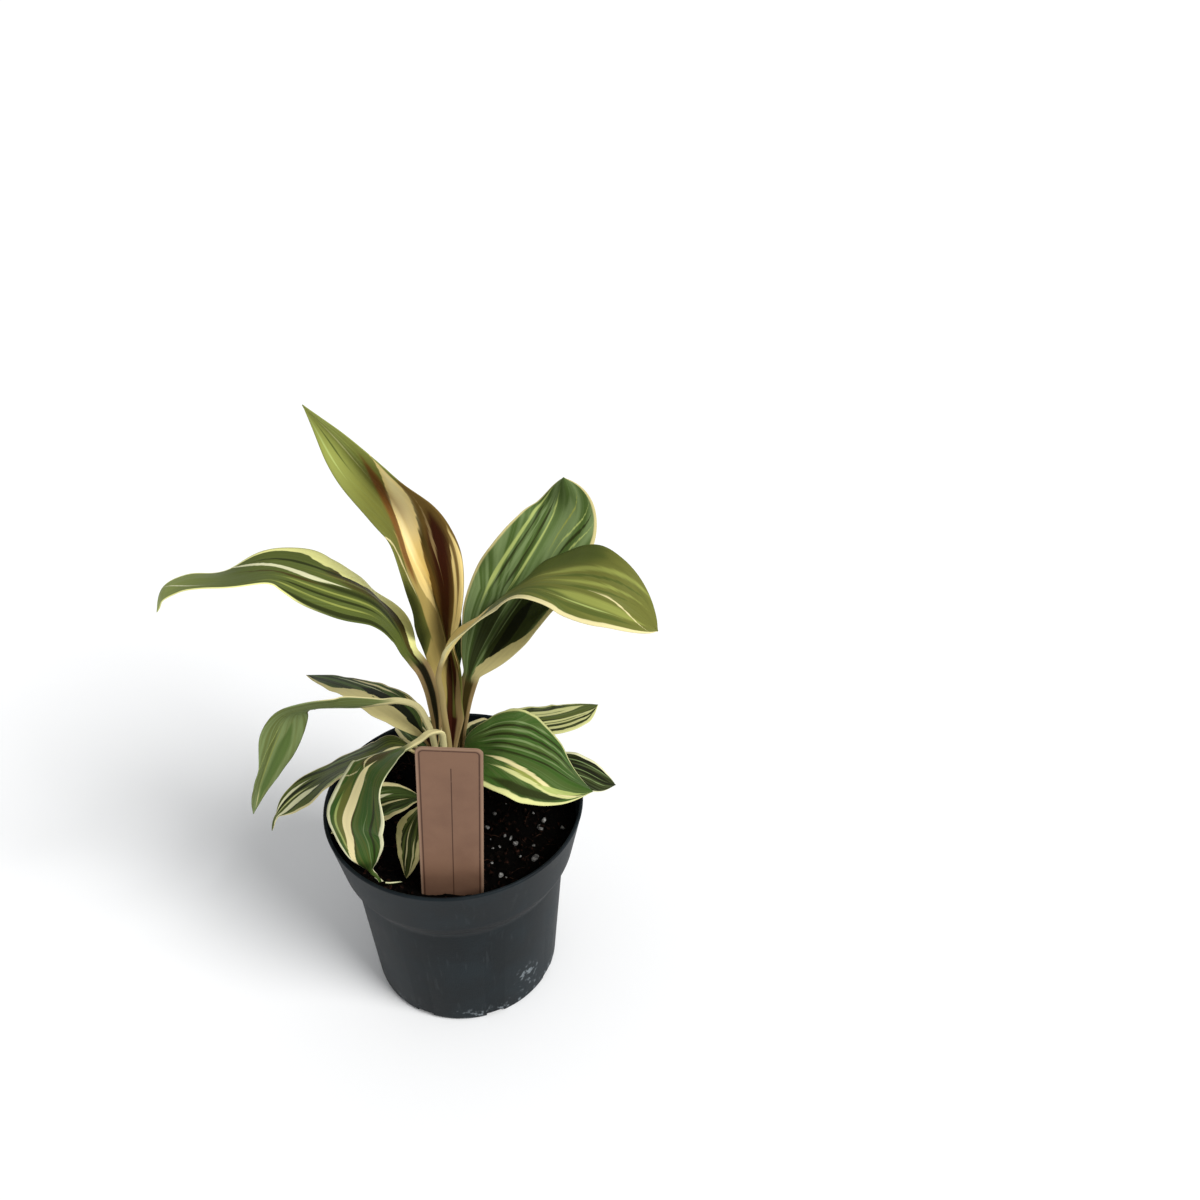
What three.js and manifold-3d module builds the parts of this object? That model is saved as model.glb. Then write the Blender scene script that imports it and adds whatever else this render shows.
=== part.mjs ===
import * as THREE from 'three';
import { mergeVertices } from 'three/addons/utils/BufferGeometryUtils.js';
import Module from 'manifold-3d';

const wasm = await Module();
wasm.setup();

// A young ti plant in a nursery pot. Millimetres, +Z up, origin at the middle of the pot's underside.
// Gap that touching solids keep between them
const GAP = 0.3;

// Pot: a thin moulded shell with a wide collar over a tapering body
const RIM_RADIUS = 60;
const POT_HEIGHT = 106.8;
const COLLAR_HEIGHT = 28;
const COLLAR_FOOT_RADIUS = 54.7;
const SHOULDER_HEIGHT = 8;
const BODY_TOP_RADIUS = 50.1;
const BODY_FOOT_RADIUS = 44.6;
const BASE_ROUNDING = 3;
const POT_WALL = 1.3;
const FLOOR_THICKNESS = 2;
const POT_SIDES = 48;
const DRAIN_SLOTS = 8;
const DRAIN_WIDTH = 9;
const DRAIN_HEIGHT = 3.4;
const DRAIN_INNER_RADIUS = 33;

// Soil
const SOIL_TOP = 95;
const SOIL_UNEVENNESS = 0.8;

// Cane: the short stem, wider where the leaf bases clasp it
const CANE_FOOT = 62;
const CANE_TOP = 127;
const CANE_SIDES = 20;
const CANE_PROFILE = [
  [CANE_FOOT, 3.8], [SOIL_TOP + 2, 4.0], [105, 4.6], [115, 5.6], [122, 6.0], [126, 5.6], [CANE_TOP, 5.0],
];
const RING_SPACING = 3.2;
const RING_HEIGHT = 0.18;

// Label: a stiff card pushed into the soil in front of the plant
const LABEL_WIDTH = 27.4;
const LABEL_THICKNESS = 1;
const LABEL_CORNER = 3;
const LABEL_ABOVE_SOIL = 88;
const LABEL_IN_SOIL = 20;
const LABEL_POINT = 10;
const LABEL_X = 3;
const LABEL_Y = -47;
const LABEL_LEAN = 3;

// Leaves: sections along a leaf, strips across it, and its thickness in stalk and blade
const LEAF_ROWS = 21;
const LEAF_STRIPS = 6;
const BLADE_THICKNESS = 0.8;
const STALK_THICKNESS = 1.2;
const STALK_HALF_WIDTH = 1.2;
const STALK_TOP_HALF_WIDTH = 2;
const CHANNEL_LIFT = 25;
const TIP_HALF_WIDTH = 0.4;
const FOOT_DISTANCE = GAP + STALK_THICKNESS / 2 + 0.45;

const radians = THREE.MathUtils.degToRad;
const clamp = THREE.MathUtils.clamp;
const lerp = THREE.MathUtils.lerp;

function standard(color, roughness) {
  return new THREE.MeshStandardMaterial({ color, roughness, metalness: 0 });
}

const materials = {
  pot: standard(0x3a3d42, 0.55),
  soil: standard(0x2b1f1a, 1.0),
  cane: standard(0x7d6a4c, 0.75),
  label: standard(0xa8877a, 0.7),
  leaf: standard(0x6f8050, 0.45),
  youngLeaf: standard(0x8f7048, 0.45),
};

const plant = new THREE.Group();

function place(name, geometry, material) {
  const mesh = new THREE.Mesh(geometry, material);
  mesh.name = name;
  plant.add(mesh);
  return mesh;
}

// Closed triangle mesh with shared corners, for the boolean cuts
function toSolid(geometry) {
  const bare = geometry.clone();
  bare.deleteAttribute('normal');
  bare.deleteAttribute('uv');
  const merged = mergeVertices(bare, 1e-4);
  const vertProperties = new Float32Array(merged.attributes.position.array);
  const triVerts = new Uint32Array(merged.index.array);
  return new wasm.Manifold(new wasm.Mesh({ numProp: 3, vertProperties, triVerts }));
}

function toGeometry(solid) {
  const mesh = solid.getMesh();
  const geometry = new THREE.BufferGeometry();
  geometry.setAttribute('position', new THREE.BufferAttribute(new Float32Array(mesh.vertProperties), 3));
  geometry.setIndex(new THREE.BufferAttribute(new Uint32Array(mesh.triVerts), 1));
  return geometry;
}

// Turned solid about +Z. The outline runs from the axis at the bottom round to the axis at the top.
function turned(outline, sides) {
  const points = outline.map(([radius, height]) => new THREE.Vector2(radius, height));
  const geometry = new THREE.LatheGeometry(points, sides);
  geometry.rotateX(Math.PI / 2);
  return geometry;
}

// The outer wall's radius at a height, and the pot's outline from it
const COLLAR_FOOT = POT_HEIGHT - COLLAR_HEIGHT;
const BODY_TOP = COLLAR_FOOT - SHOULDER_HEIGHT;
const WALL_STATIONS = [
  [BASE_ROUNDING, BODY_FOOT_RADIUS], [BODY_TOP, BODY_TOP_RADIUS],
  [COLLAR_FOOT, COLLAR_FOOT_RADIUS], [POT_HEIGHT, RIM_RADIUS],
];

function stationRadius(stations, height) {
  const last = stations.length - 1;
  if (height <= stations[0][0]) return stations[0][1];
  for (let i = 0; i < last; i += 1) {
    const [low, lowRadius] = stations[i];
    const [high, highRadius] = stations[i + 1];
    if (height <= high) return lerp(lowRadius, highRadius, (height - low) / (high - low));
  }
  return stations[last][1];
}

function makePot() {
  const corner = [0, 30, 60, 90].map((angle) => [
    BODY_FOOT_RADIUS - BASE_ROUNDING * (1 - Math.sin(radians(angle))),
    BASE_ROUNDING * (1 - Math.cos(radians(angle))),
  ]);
  const lip = POT_WALL / 2;
  const outside = WALL_STATIONS.slice(1, 3).map(([height, radius]) => [radius, height]);
  const rim = [
    [RIM_RADIUS, POT_HEIGHT - lip], [RIM_RADIUS - lip, POT_HEIGHT],
    [RIM_RADIUS - POT_WALL, POT_HEIGHT - lip],
  ];
  const inside = outside.map(([radius, height]) => [radius - POT_WALL, height]).reverse();
  const floorRadius = BODY_FOOT_RADIUS - POT_WALL;
  const outline = [
    [0, 0], ...corner, ...outside, ...rim, ...inside, [floorRadius, FLOOR_THICKNESS + 1],
    [floorRadius - 1, FLOOR_THICKNESS], [0, FLOOR_THICKNESS],
  ];
  let pot = toSolid(turned(outline, POT_SIDES));
  const length = BODY_FOOT_RADIUS + BASE_ROUNDING - DRAIN_INNER_RADIUS;
  for (let i = 0; i < DRAIN_SLOTS; i += 1) {
    const slot = new THREE.BoxGeometry(length, DRAIN_WIDTH, 2 * DRAIN_HEIGHT);
    slot.translate(DRAIN_INNER_RADIUS + length / 2, 0, 0);
    slot.rotateZ((2 * Math.PI * (i + 0.5)) / DRAIN_SLOTS);
    pot = pot.subtract(toSolid(slot));
  }
  return toGeometry(pot);
}

// The label's outline stands on its point, with x across and y up the card
function labelShape(margin) {
  const half = LABEL_WIDTH / 2 + margin;
  const top = LABEL_ABOVE_SOIL + margin;
  const corner = LABEL_CORNER;
  const shape = new THREE.Shape();
  shape.moveTo(0, -LABEL_IN_SOIL - margin);
  shape.lineTo(half, -LABEL_IN_SOIL + LABEL_POINT - margin);
  shape.lineTo(half, top - corner);
  shape.absarc(half - corner, top - corner, corner, 0, Math.PI / 2, false);
  shape.absarc(-half + corner, top - corner, corner, Math.PI / 2, Math.PI, false);
  shape.lineTo(-half, -LABEL_IN_SOIL + LABEL_POINT - margin);
  shape.closePath();
  return shape;
}

function makeLabel(margin) {
  const depth = LABEL_THICKNESS + 2 * margin;
  const options = { depth, bevelEnabled: false, curveSegments: 4 };
  const card = new THREE.ExtrudeGeometry(labelShape(margin), options);
  card.translate(0, 0, -depth / 2);
  card.rotateX(Math.PI / 2);
  card.rotateY(radians(LABEL_LEAN));
  card.translate(LABEL_X, LABEL_Y, SOIL_TOP);
  return card;
}

function makeCane(margin) {
  const outline = [[0, CANE_FOOT - margin]];
  const rings = Math.round((CANE_TOP - CANE_FOOT) / RING_SPACING);
  for (let i = 0; i <= rings; i += 1) {
    const height = lerp(CANE_FOOT, CANE_TOP, i / rings);
    const scar = i % 2 === 0 ? RING_HEIGHT : 0;
    outline.push([stationRadius(CANE_PROFILE, height) - RING_HEIGHT + scar + margin, height]);
  }
  outline[1][1] = CANE_FOOT - margin;
  outline.push([0, CANE_TOP + margin]);
  outline[outline.length - 2][1] = CANE_TOP + margin;
  return turned(outline, CANE_SIDES);
}

function makeSoil() {
  const innerRadius = (height) => stationRadius(WALL_STATIONS, height) - POT_WALL - GAP;
  const floor = FLOOR_THICKNESS + GAP;
  const edge = innerRadius(SOIL_TOP - 2) - 0.4;
  const rings = [1, 0.82, 0.62, 0.42, 0.24].map((share) => [edge * share, SOIL_TOP]);
  const outline = [
    [0, floor], [innerRadius(floor) - 1.4, floor], [innerRadius(floor) - 0.4, floor + 2],
    [innerRadius(BODY_TOP) - 0.4, BODY_TOP], [innerRadius(COLLAR_FOOT) - 0.4, COLLAR_FOOT],
    ...rings, [0, SOIL_TOP],
  ];
  const geometry = turned(outline, 40);
  const position = geometry.attributes.position;
  for (let i = 0; i < position.count; i += 1) {
    if (position.getZ(i) > SOIL_TOP - 0.1) {
      const x = position.getX(i);
      const y = position.getY(i);
      const bump = Math.sin(x * 0.21 + 1) * Math.cos(y * 0.17) + 0.5 * Math.sin(x * 0.05 - y * 0.31);
      position.setZ(i, SOIL_TOP + SOIL_UNEVENNESS * bump);
    }
  }
  return toGeometry(toSolid(geometry).subtract(toSolid(makeCane(GAP))).subtract(toSolid(makeLabel(GAP))));
}

// Smooth curve through values at rising knots; the values are numbers or lists of numbers
function smoothAt(knots, values, t) {
  const last = knots.length - 1;
  const list = values.map((value) => (Array.isArray(value) ? value : [value]));
  let i = 0;
  while (i < last - 1 && t >= knots[i + 1]) i += 1;
  const step = (j) => knots[j + 1] - knots[j];
  const rise = (j, k) => (list[j + 1][k] - list[j][k]) / step(j);
  const slope = (j, k) => {
    if (j === 0) return rise(0, k);
    if (j === last) return rise(last - 1, k);
    return (rise(j - 1, k) * step(j) + rise(j, k) * step(j - 1)) / (step(j - 1) + step(j));
  };
  const s = (t - knots[i]) / step(i);
  const out = list[i].map((_, k) => (1 + 2 * s) * (1 - s) ** 2 * list[i][k]
    + s * (1 - s) ** 2 * step(i) * slope(i, k)
    + s * s * (3 - 2 * s) * list[i + 1][k] + s * s * (s - 1) * step(i) * slope(i + 1, k));
  return Array.isArray(values[0]) ? out : out[0];
}

function evenAt(values, t) {
  return smoothAt(values.map((_, i) => i / (values.length - 1)), values, t);
}

// Blade outline: 0 at the stalk, 1 at its widest place, 0 at the tip
function bladeOutline(u, widest) {
  if (u < widest) return Math.sin((u / widest) * (Math.PI / 2)) ** 0.85;
  const x = (u - widest) / (1 - widest);
  return Math.max(0, 1 - x ** 2.1) * (1 - 0.12 * x);
}

// A leaf rises from its foot on the cane and follows its rib. Rib points are out from the plant's
// middle along the leaf's bearing, to the left of it, and up. Its roll turns the whole section, and
// its left and right halves lift from the rib by angles given at even steps from foot to tip. A
// sheath widens the stalk by half widths given at even steps from the foot to the blade.
function makeLeaf(leaf) {
  const bearing = radians(leaf.bearing);
  const out = new THREE.Vector3(Math.cos(bearing), Math.sin(bearing), 0);
  const left = new THREE.Vector3(-Math.sin(bearing), Math.cos(bearing), 0);
  const rib = leaf.rib.map((point) => [...point]);
  const turn = THREE.MathUtils.euclideanModulo(leaf.bearing - leaf.footBearing + 180, 360) - 180;
  if (leaf.footHeight < CANE_TOP) {
    const reach = stationRadius(CANE_PROFILE, leaf.footHeight) + FOOT_DISTANCE;
    rib.unshift([reach * Math.cos(radians(turn)), -reach * Math.sin(radians(turn)), leaf.footHeight]);
  } else {
    rib.unshift([0, 0, leaf.footHeight]);
  }
  const knots = [0];
  for (let i = 1; i < rib.length; i += 1) {
    knots.push(knots[i - 1] + Math.hypot(...rib[i].map((value, k) => value - rib[i - 1][k])));
  }
  const length = knots[knots.length - 1];
  const shares = knots.map((value) => value / length);
  const ribPoint = (t) => {
    const [r, side, z] = smoothAt(shares, rib, clamp(t, 0, 1));
    return new THREE.Vector3(0, 0, z).addScaledVector(out, r).addScaledVector(left, side);
  };

  const top = [];
  const bottom = [];
  for (let row = 0; row < LEAF_ROWS; row += 1) {
    const t = row / (LEAF_ROWS - 1);
    const blade = clamp((t - leaf.stalk) / (1 - leaf.stalk), 0, 1);
    const grown = clamp(t / leaf.stalk, 0, 1);
    const ease = grown * grown * (3 - 2 * grown);
    const along = ribPoint(t + 0.004).sub(ribPoint(t - 0.004)).normalize();
    const facing = radians(leaf.footBearing + turn * ease);
    const across = new THREE.Vector3(-Math.sin(facing), Math.cos(facing), 0);
    across.addScaledVector(along, -across.dot(along)).normalize();
    const up = new THREE.Vector3().crossVectors(along, across);
    across.applyAxisAngle(along, radians(evenAt(leaf.roll, t) * ease));
    up.applyAxisAngle(along, radians(evenAt(leaf.roll, t) * ease));

    const spread = bladeOutline(Math.min(1, blade / (1 - leaf.tail)), leaf.widest) * leaf.width / 2;
    const sheath = leaf.sheath ? evenAt(leaf.sheath, grown) * (1 - blade) ** 4 : 0;
    const narrowing = Math.sqrt(Math.min(1, 2 * (1 - blade)));
    const plainStalk = lerp(STALK_HALF_WIDTH, STALK_TOP_HALF_WIDTH, grown) * narrowing;
    const half = Math.max((spread ** 4 + (plainStalk + sheath) ** 4) ** 0.25, TIP_HALF_WIDTH);
    const lift = (keys) => radians(lerp(leaf.channel ?? CHANNEL_LIFT, evenAt(keys, blade), ease));
    const leftLift = lift(leaf.left);
    const rightLift = lift(leaf.right);
    const thickness = lerp(STALK_THICKNESS, BLADE_THICKNESS, clamp(6 * blade, 0, 1));
    const centre = ribPoint(t);
    for (let strip = 0; strip <= LEAF_STRIPS; strip += 1) {
      const v = 1 - (2 * strip) / LEAF_STRIPS;
      const angle = v > 0 ? leftLift : -rightLift;
      const middle = Math.abs(v) < 1e-6;
      const normalAngle = middle ? (leftLift - rightLift) / 2 : angle;
      const mitre = middle ? Math.max(0.5, Math.cos((leftLift + rightLift) / 2)) : 1;
      const point = centre.clone().addScaledVector(across, half * v * Math.cos(angle))
        .addScaledVector(up, half * v * Math.sin(angle));
      const normal = up.clone().multiplyScalar(Math.cos(normalAngle))
        .addScaledVector(across, -Math.sin(normalAngle));
      top.push(point.clone().addScaledVector(normal, thickness / 2 / mitre));
      bottom.push(point.clone().addScaledVector(normal, -thickness / 2 / mitre));
    }
  }
  return closedSheet(top, bottom, LEAF_ROWS, LEAF_STRIPS + 1);
}

// One closed solid between two grids of points, with both faces split alike
function closedSheet(top, bottom, rows, columns) {
  const index = [];
  const under = top.length;
  const quad = (a, b, c, d) => index.push(a, b, c, a, c, d);
  for (let i = 0; i < rows - 1; i += 1) {
    for (let j = 0; j < columns - 1; j += 1) {
      const a = i * columns + j;
      const b = a + columns;
      index.push(a, a + 1, b + 1, a, b + 1, b);
      index.push(under + a, under + b + 1, under + a + 1, under + a, under + b, under + b + 1);
    }
    const a = i * columns;
    const b = a + columns;
    quad(a, b, under + b, under + a);
    quad(a + columns - 1, under + a + columns - 1, under + b + columns - 1, b + columns - 1);
  }
  const lastRow = (rows - 1) * columns;
  for (let j = 0; j < columns - 1; j += 1) {
    quad(j, under + j, under + j + 1, j + 1);
    quad(lastRow + j, lastRow + j + 1, under + lastRow + j + 1, under + lastRow + j);
  }
  const geometry = new THREE.BufferGeometry();
  const corners = [...top, ...bottom].flatMap((point) => point.toArray());
  geometry.setAttribute('position', new THREE.Float32BufferAttribute(corners, 3));
  geometry.setIndex(index);
  return geometry;
}

const leaves = [
  {
    name: 'leaf_young_spear', bearing: 179, footBearing: 89, footHeight: CANE_TOP + 1.2,
    rib: [
      [-1, -1.5, 139], [-2, -4, 153], [-2.5, -9, 169], [-1.5, -13.5, 184], [0.5, -15, 199],
      [3, -13, 215], [10, -10.5, 239], [16, -10, 262], [24, -5, 282], [32, -2, 297], [43, -3, 309],
    ],
    width: 43, stalk: 0.14, widest: 0.55, tail: 0, sheath: [1.2, 1.8, 4.2], channel: 35,
    roll: [-90, -92, -85, -60, -70, -95], left: [20, 56, 60, 55, 0], right: [25, 68, 40, 55, 45],
  },
  {
    name: 'leaf_arching_left', bearing: 187, footBearing: 172, footHeight: 120,
    rib: [
      [6.5, -2, 136], [5, -0.5, 150], [4.5, 1.5, 165.5], [5, 2.5, 176.5], [7.5, 2.6, 187.5],
      [13.2, 2.3, 198], [16.3, -0.3, 208], [24, -1, 223], [42, -1, 235], [61, -3, 240], [80, 1, 240],
      [98, 0, 239], [106, 0, 235], [111, -2, 224],
    ],
    width: 36, stalk: 0.36, widest: 0.38, tail: 0, sheath: [0, 0.6, 1.5, 1.8], channel: 28,
    roll: [-90, -98, -102, -80, -25, -5, 0, 2, 5, -2, -10], left: [10, 0, -15, 10, 10, -25],
    right: [36, 12, -20, -15, -5, 0, 0, -10, -20, -5, 10],
  },
  {
    name: 'leaf_broad_right_back', bearing: 41, footBearing: 52, footHeight: 116,
    rib: [
      [7.5, 1, 134], [9, 0, 150], [11.8, -0.4, 165], [13.2, -3.7, 178], [28.6, -1.3, 192], [52, 0, 212],
      [71, 1, 236], [67, -3, 255],
    ],
    width: 48, stalk: 0.36, widest: 0.5, tail: 0, sheath: [0, 0.5, 1.8],
    roll: [15, 30, 25, 50], left: [10, 30, 35, -35], right: [-5, 30, 25, -35],
  },
  {
    name: 'leaf_broad_right', bearing: -6, footBearing: 280, footHeight: 121,
    rib: [
      [2, -7, 135], [2, -7, 150], [1.5, -7.5, 163], [1.5, -8.5, 178], [1.5, -10.5, 191], [4.5, -11.5, 200.5],
      [9.5, -11, 209], [17, -7, 216.5], [29, 0, 225], [42, 2, 231], [55, 1, 232], [70, -2, 230],
      [88, -1, 217], [92, 1, 212],
    ],
    width: 49, stalk: 0.42, widest: 0.48, tail: 0,
    roll: [-15, -10, -5, 5, 25], left: [30, -20, -10, 35, 40], right: [15, 15, 25, 5, 25],
  },
  {
    name: 'leaf_left_back', bearing: 155, footBearing: 146, footHeight: 111,
    rib: [
      [9.5, -1.5, 127], [11, 0, 139], [14, 3, 147], [25, 0, 151], [39, 0, 156], [56, 1, 158], [74, 1, 156],
    ],
    width: 30, stalk: 0.34, widest: 0.45, tail: 0,
    roll: [-10, 10, 20], left: [-5, 10, 5], right: [20, -10, 0],
  },
  {
    name: 'leaf_left_drooping', bearing: 190, footBearing: 222, footHeight: 117,
    rib: [
      [6.5, 4.5, 134], [6.5, 4.5, 147], [8.5, 3.5, 158], [13, 2, 168], [19.5, 1, 170.5], [27, 0, 170],
      [45, -1, 170], [57, 1, 172], [67, -1, 168], [74, -1, 156], [81, 0, 141], [86, 0, 128], [90, 1, 114],
    ],
    width: 29, stalk: 0.38, widest: 0.55, tail: 0,
    roll: [30, 45, 40, 50, 40], left: [45, 10, -30, -20], right: [-25, 0, -15, -10],
  },
  {
    name: 'leaf_left_low', bearing: 186, footBearing: 180, footHeight: 104,
    rib: [
      [9.5, -1, 121], [14, 0, 137], [25, -1, 142], [34, 1, 138], [48, -1, 130], [61, -1, 122],
      [73, 0, 114], [82, 1, 104], [85, 0, 95],
    ],
    width: 30, stalk: 0.3, widest: 0.5, tail: 0.12,
    roll: [5, 5, 5, -35], left: [20, 10, -25], right: [15, -10, 25],
  },
  {
    name: 'leaf_front_left_hanging', bearing: 229, footBearing: 256, footHeight: 112,
    rib: [
      [8.5, 4.5, 127], [9, 6, 142], [9, 7, 153], [10.5, 7, 160], [14, 5, 160.5], [18.5, 2.5, 157.5],
      [25, 0, 155.5], [35, 0, 157], [44, 0, 156],
      [48, 0, 150], [52, 0, 143], [56, -1, 133], [55, 0, 122], [54, 1, 111], [51, 1, 100],
      [51, 8, 99], [45, 13, 98],
    ],
    width: 34, stalk: 0.4, widest: 0.42, tail: 0.17,
    roll: [0, 5, 20, -20, -45], left: [20, -5, -20], right: [5, -5, 25],
  },
  {
    name: 'leaf_front_small', bearing: 248, footBearing: 262, footHeight: 98,
    rib: [
      [8, 1.5, 110], [14, 0, 120], [25, 0, 125], [33, 0, 125], [39, 0, 121], [42, 0, 112], [45, -1, 99],
    ],
    width: 17, stalk: 0.4, widest: 0.45, tail: 0,
    roll: [10, 15, 15], left: [15, 10, 10], right: [-5, 0, 15],
  },
  {
    name: 'leaf_right_front', bearing: -20, footBearing: 305, footHeight: 105,
    rib: [
      [8, -4, 122], [11, 0, 141], [19, -2, 145], [29, -4, 149], [46, -2, 145], [59, -1, 138], [69, 0, 135],
    ],
    width: 48, stalk: 0.32, widest: 0.5, tail: 0,
    roll: [10, 10, 0, -5], left: [50, 5, -25], right: [25, 0, -20],
  },
  {
    name: 'leaf_right_back', bearing: 26, footBearing: 16, footHeight: 106,
    rib: [[9.5, -1.5, 122], [14, 0, 134], [26, 0, 140], [41, 0, 139], [55, -2, 138], [75, 1, 135]],
    width: 28, stalk: 0.34, widest: 0.6, tail: 0,
    roll: [5, 0, -10], left: [30, -10, 0], right: [10, 5, 5],
  },
  {
    name: 'leaf_right_low', bearing: -1, footBearing: 338, footHeight: 99,
    rib: [
      [8.5, -2, 112], [16, -1, 125], [33, -1, 136], [45, -2, 133], [59, -2, 128], [70, 0, 119], [75, 3, 114],
    ],
    width: 25, stalk: 0.34, widest: 0.45, tail: 0,
    roll: [-20, -10, 20], left: [-10, -15, 20], right: [20, 0, -15],
  },
  {
    name: 'leaf_back_upright', bearing: 80, footBearing: 90, footHeight: 119,
    rib: [[8.5, 0, 140], [13.5, 0, 160], [19, 0, 180], [24, 0.5, 200], [26, 0, 213], [27, -1, 223]],
    width: 11, stalk: 0.35, widest: 0.5, tail: 0,
    roll: [0, 0, 0, 0], left: [40, 35, 30, 20], right: [40, 35, 30, 20],
  },
  {
    name: 'leaf_front_left_low', bearing: 205, footBearing: 214, footHeight: 97.5,
    rib: [[8.5, 1, 106], [16, 0, 113], [28, 0, 117], [40, 0, 116], [50, 0, 113], [58, 0, 110]],
    width: 24, stalk: 0.3, widest: 0.45, tail: 0,
    roll: [0, 0, 0], left: [25, 10, 5], right: [25, 10, 5],
  },
  {
    name: 'leaf_back_right_low', bearing: 60, footBearing: 64, footHeight: 98.5,
    rib: [[8.5, 0.5, 110], [15, 0, 120], [27, 0, 124], [39, 0, 121], [49, 0, 113]],
    width: 22, stalk: 0.32, widest: 0.45, tail: 0,
    roll: [0, 0, 0], left: [25, 10, 5], right: [25, 10, 5],
  },
  {
    name: 'leaf_back_left_low', bearing: 125, footBearing: 112, footHeight: 100,
    rib: [[8.5, -1, 113], [15, 0, 123], [27, 0, 126], [40, 0, 123], [51, 0, 115]],
    width: 20, stalk: 0.32, widest: 0.45, tail: 0,
    roll: [0, 0, 0], left: [25, 10, 5], right: [25, 10, 5],
  },
];

place('pot', makePot(), materials.pot);
place('soil', makeSoil(), materials.soil);
place('cane', makeCane(0), materials.cane);
place('label', makeLabel(0), materials.label);
for (const leaf of leaves) {
  place(leaf.name, makeLeaf(leaf), leaf.name === 'leaf_young_spear' ? materials.youngLeaf : materials.leaf);
}

export default plant;
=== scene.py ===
# %% [markdown]
# # A young ti plant in its nursery pot
# The plant stands in a thin black pot: a short cane, sixteen long leaves on grooved stalks, dark
# potting mix and a blank card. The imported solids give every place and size. This notebook dresses
# them: each piece is made again with a finer mesh and gets a finish made of shader nodes.

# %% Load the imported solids
import math
import random

import bmesh
import bpy
import numpy as np
from mathutils import Matrix, Vector, noise


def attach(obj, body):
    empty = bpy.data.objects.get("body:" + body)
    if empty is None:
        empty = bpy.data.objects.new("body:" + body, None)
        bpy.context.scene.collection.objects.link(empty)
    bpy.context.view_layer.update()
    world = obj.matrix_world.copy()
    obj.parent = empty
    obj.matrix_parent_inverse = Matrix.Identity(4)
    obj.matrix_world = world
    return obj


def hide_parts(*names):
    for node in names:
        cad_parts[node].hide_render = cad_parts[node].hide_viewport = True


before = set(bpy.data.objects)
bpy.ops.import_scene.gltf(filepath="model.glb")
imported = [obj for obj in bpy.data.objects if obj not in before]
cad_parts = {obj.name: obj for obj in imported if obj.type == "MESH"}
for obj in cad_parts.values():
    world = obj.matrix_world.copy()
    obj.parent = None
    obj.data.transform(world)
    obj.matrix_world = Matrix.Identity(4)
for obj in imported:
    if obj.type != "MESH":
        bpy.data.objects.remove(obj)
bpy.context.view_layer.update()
MM = 0.001
BODY = "root"

# %% [markdown]
# ## The camera
# A camera is a place, a direction and a lens. The pot's rim, collar and foot are circles, and each
# looks like an ellipse from above, so their shapes fix how steeply the camera looks down. It stands
# sixty centimetres away, a little to the right, and looks down by about 36 degrees.

# %% Camera
CAMERA_PLACE = (0.0679, -0.4168, 0.5288)
LOOKING_DOWN = 36.4
LENS = 37.8
SENSOR = 36


def make_camera():
    data = bpy.data.cameras.new("portrait_camera")
    data.sensor_width = SENSOR
    data.lens = LENS
    camera = bpy.data.objects.new("portrait_camera", data)
    camera.location = CAMERA_PLACE
    camera.rotation_euler = (math.radians(90 - LOOKING_DOWN), 0, 0)
    bpy.context.scene.collection.objects.link(camera)
    bpy.context.scene.camera = camera
    return camera


camera = make_camera()
print("camera at", tuple(camera.location), "lens", camera.data.lens)

# %% [markdown]
# ## Meshes from rows of points
# Almost every piece here is a sheet or a turned shape, so it is a grid: rows of points, each joined
# to the next. One helper makes the object, shades it smooth and hands it to the frame, where it
# takes the place of its plain solid. Balls, boxes and a bevelled card are easier as a bmesh, and a
# second helper makes an object of one.

# %% Mesh helpers


def new_piece(name, points, faces, node=None):
    mesh = bpy.data.meshes.new(name)
    mesh.from_pydata([tuple(point) for point in points], [], faces)
    mesh.update()
    mesh.polygons.foreach_set("use_smooth", [True] * len(mesh.polygons))
    piece = bpy.data.objects.new(name, mesh)
    bpy.context.scene.collection.objects.link(piece)
    settle(piece, node)
    return piece


def from_bmesh(name, shape):
    mesh = bpy.data.meshes.new(name)
    shape.to_mesh(mesh)
    shape.free()
    made = bpy.data.objects.new(name, mesh)
    bpy.context.scene.collection.objects.link(made)
    return made


def settle(piece, node=None):
    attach(piece, BODY)
    if node:
        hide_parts(node)


def add_measure(piece, name, values):
    attribute = piece.data.attributes.new(name, "FLOAT", "POINT")
    attribute.data.foreach_set("value", np.asarray(values, dtype=np.float32).ravel())


def ring_faces(rows, columns):
    """Faces of a grid whose last column meets its first again."""
    faces = []
    for row in range(rows - 1):
        for column in range(columns):
            after = (column + 1) % columns
            low = row * columns
            faces.append((low + column, low + after, low + columns + after, low + columns + column))
    return faces


def turned_points(outline, sides):
    """Points of an outline of (radius, height) in millimetres, turned about the pot's axis."""
    points = []
    for radius, height in outline:
        for side in range(sides):
            angle = 2 * math.pi * side / sides
            points.append((radius * math.cos(angle) * MM, radius * math.sin(angle) * MM, height * MM))
    return points


print("mesh helpers ready")

# %% [markdown]
# ## Small shader tools
# A finish is a graph of nodes. Each of these helpers adds a node or two and links what goes into
# them, so that the graphs below read like sums. A group's sockets are made on its interface, and
# the shader itself stays in the material, where `dress` feeds it.

# %% Shader helpers


def link_or_set(tree, socket, value):
    if isinstance(value, bpy.types.NodeSocket):
        tree.links.new(value, socket)
    elif value is not None:
        socket.default_value = value


def maths(tree, operation, a, b=None, clamp=False):
    node = tree.nodes.new("ShaderNodeMath")
    node.operation = operation
    node.use_clamp = clamp
    for socket, value in zip(node.inputs, (a, b)):
        link_or_set(tree, socket, value)
    return node.outputs[0]


def plus(tree, a, b, clamp=False):
    return maths(tree, "ADD", a, b, clamp)


def minus(tree, a, b):
    return maths(tree, "SUBTRACT", a, b)


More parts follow.
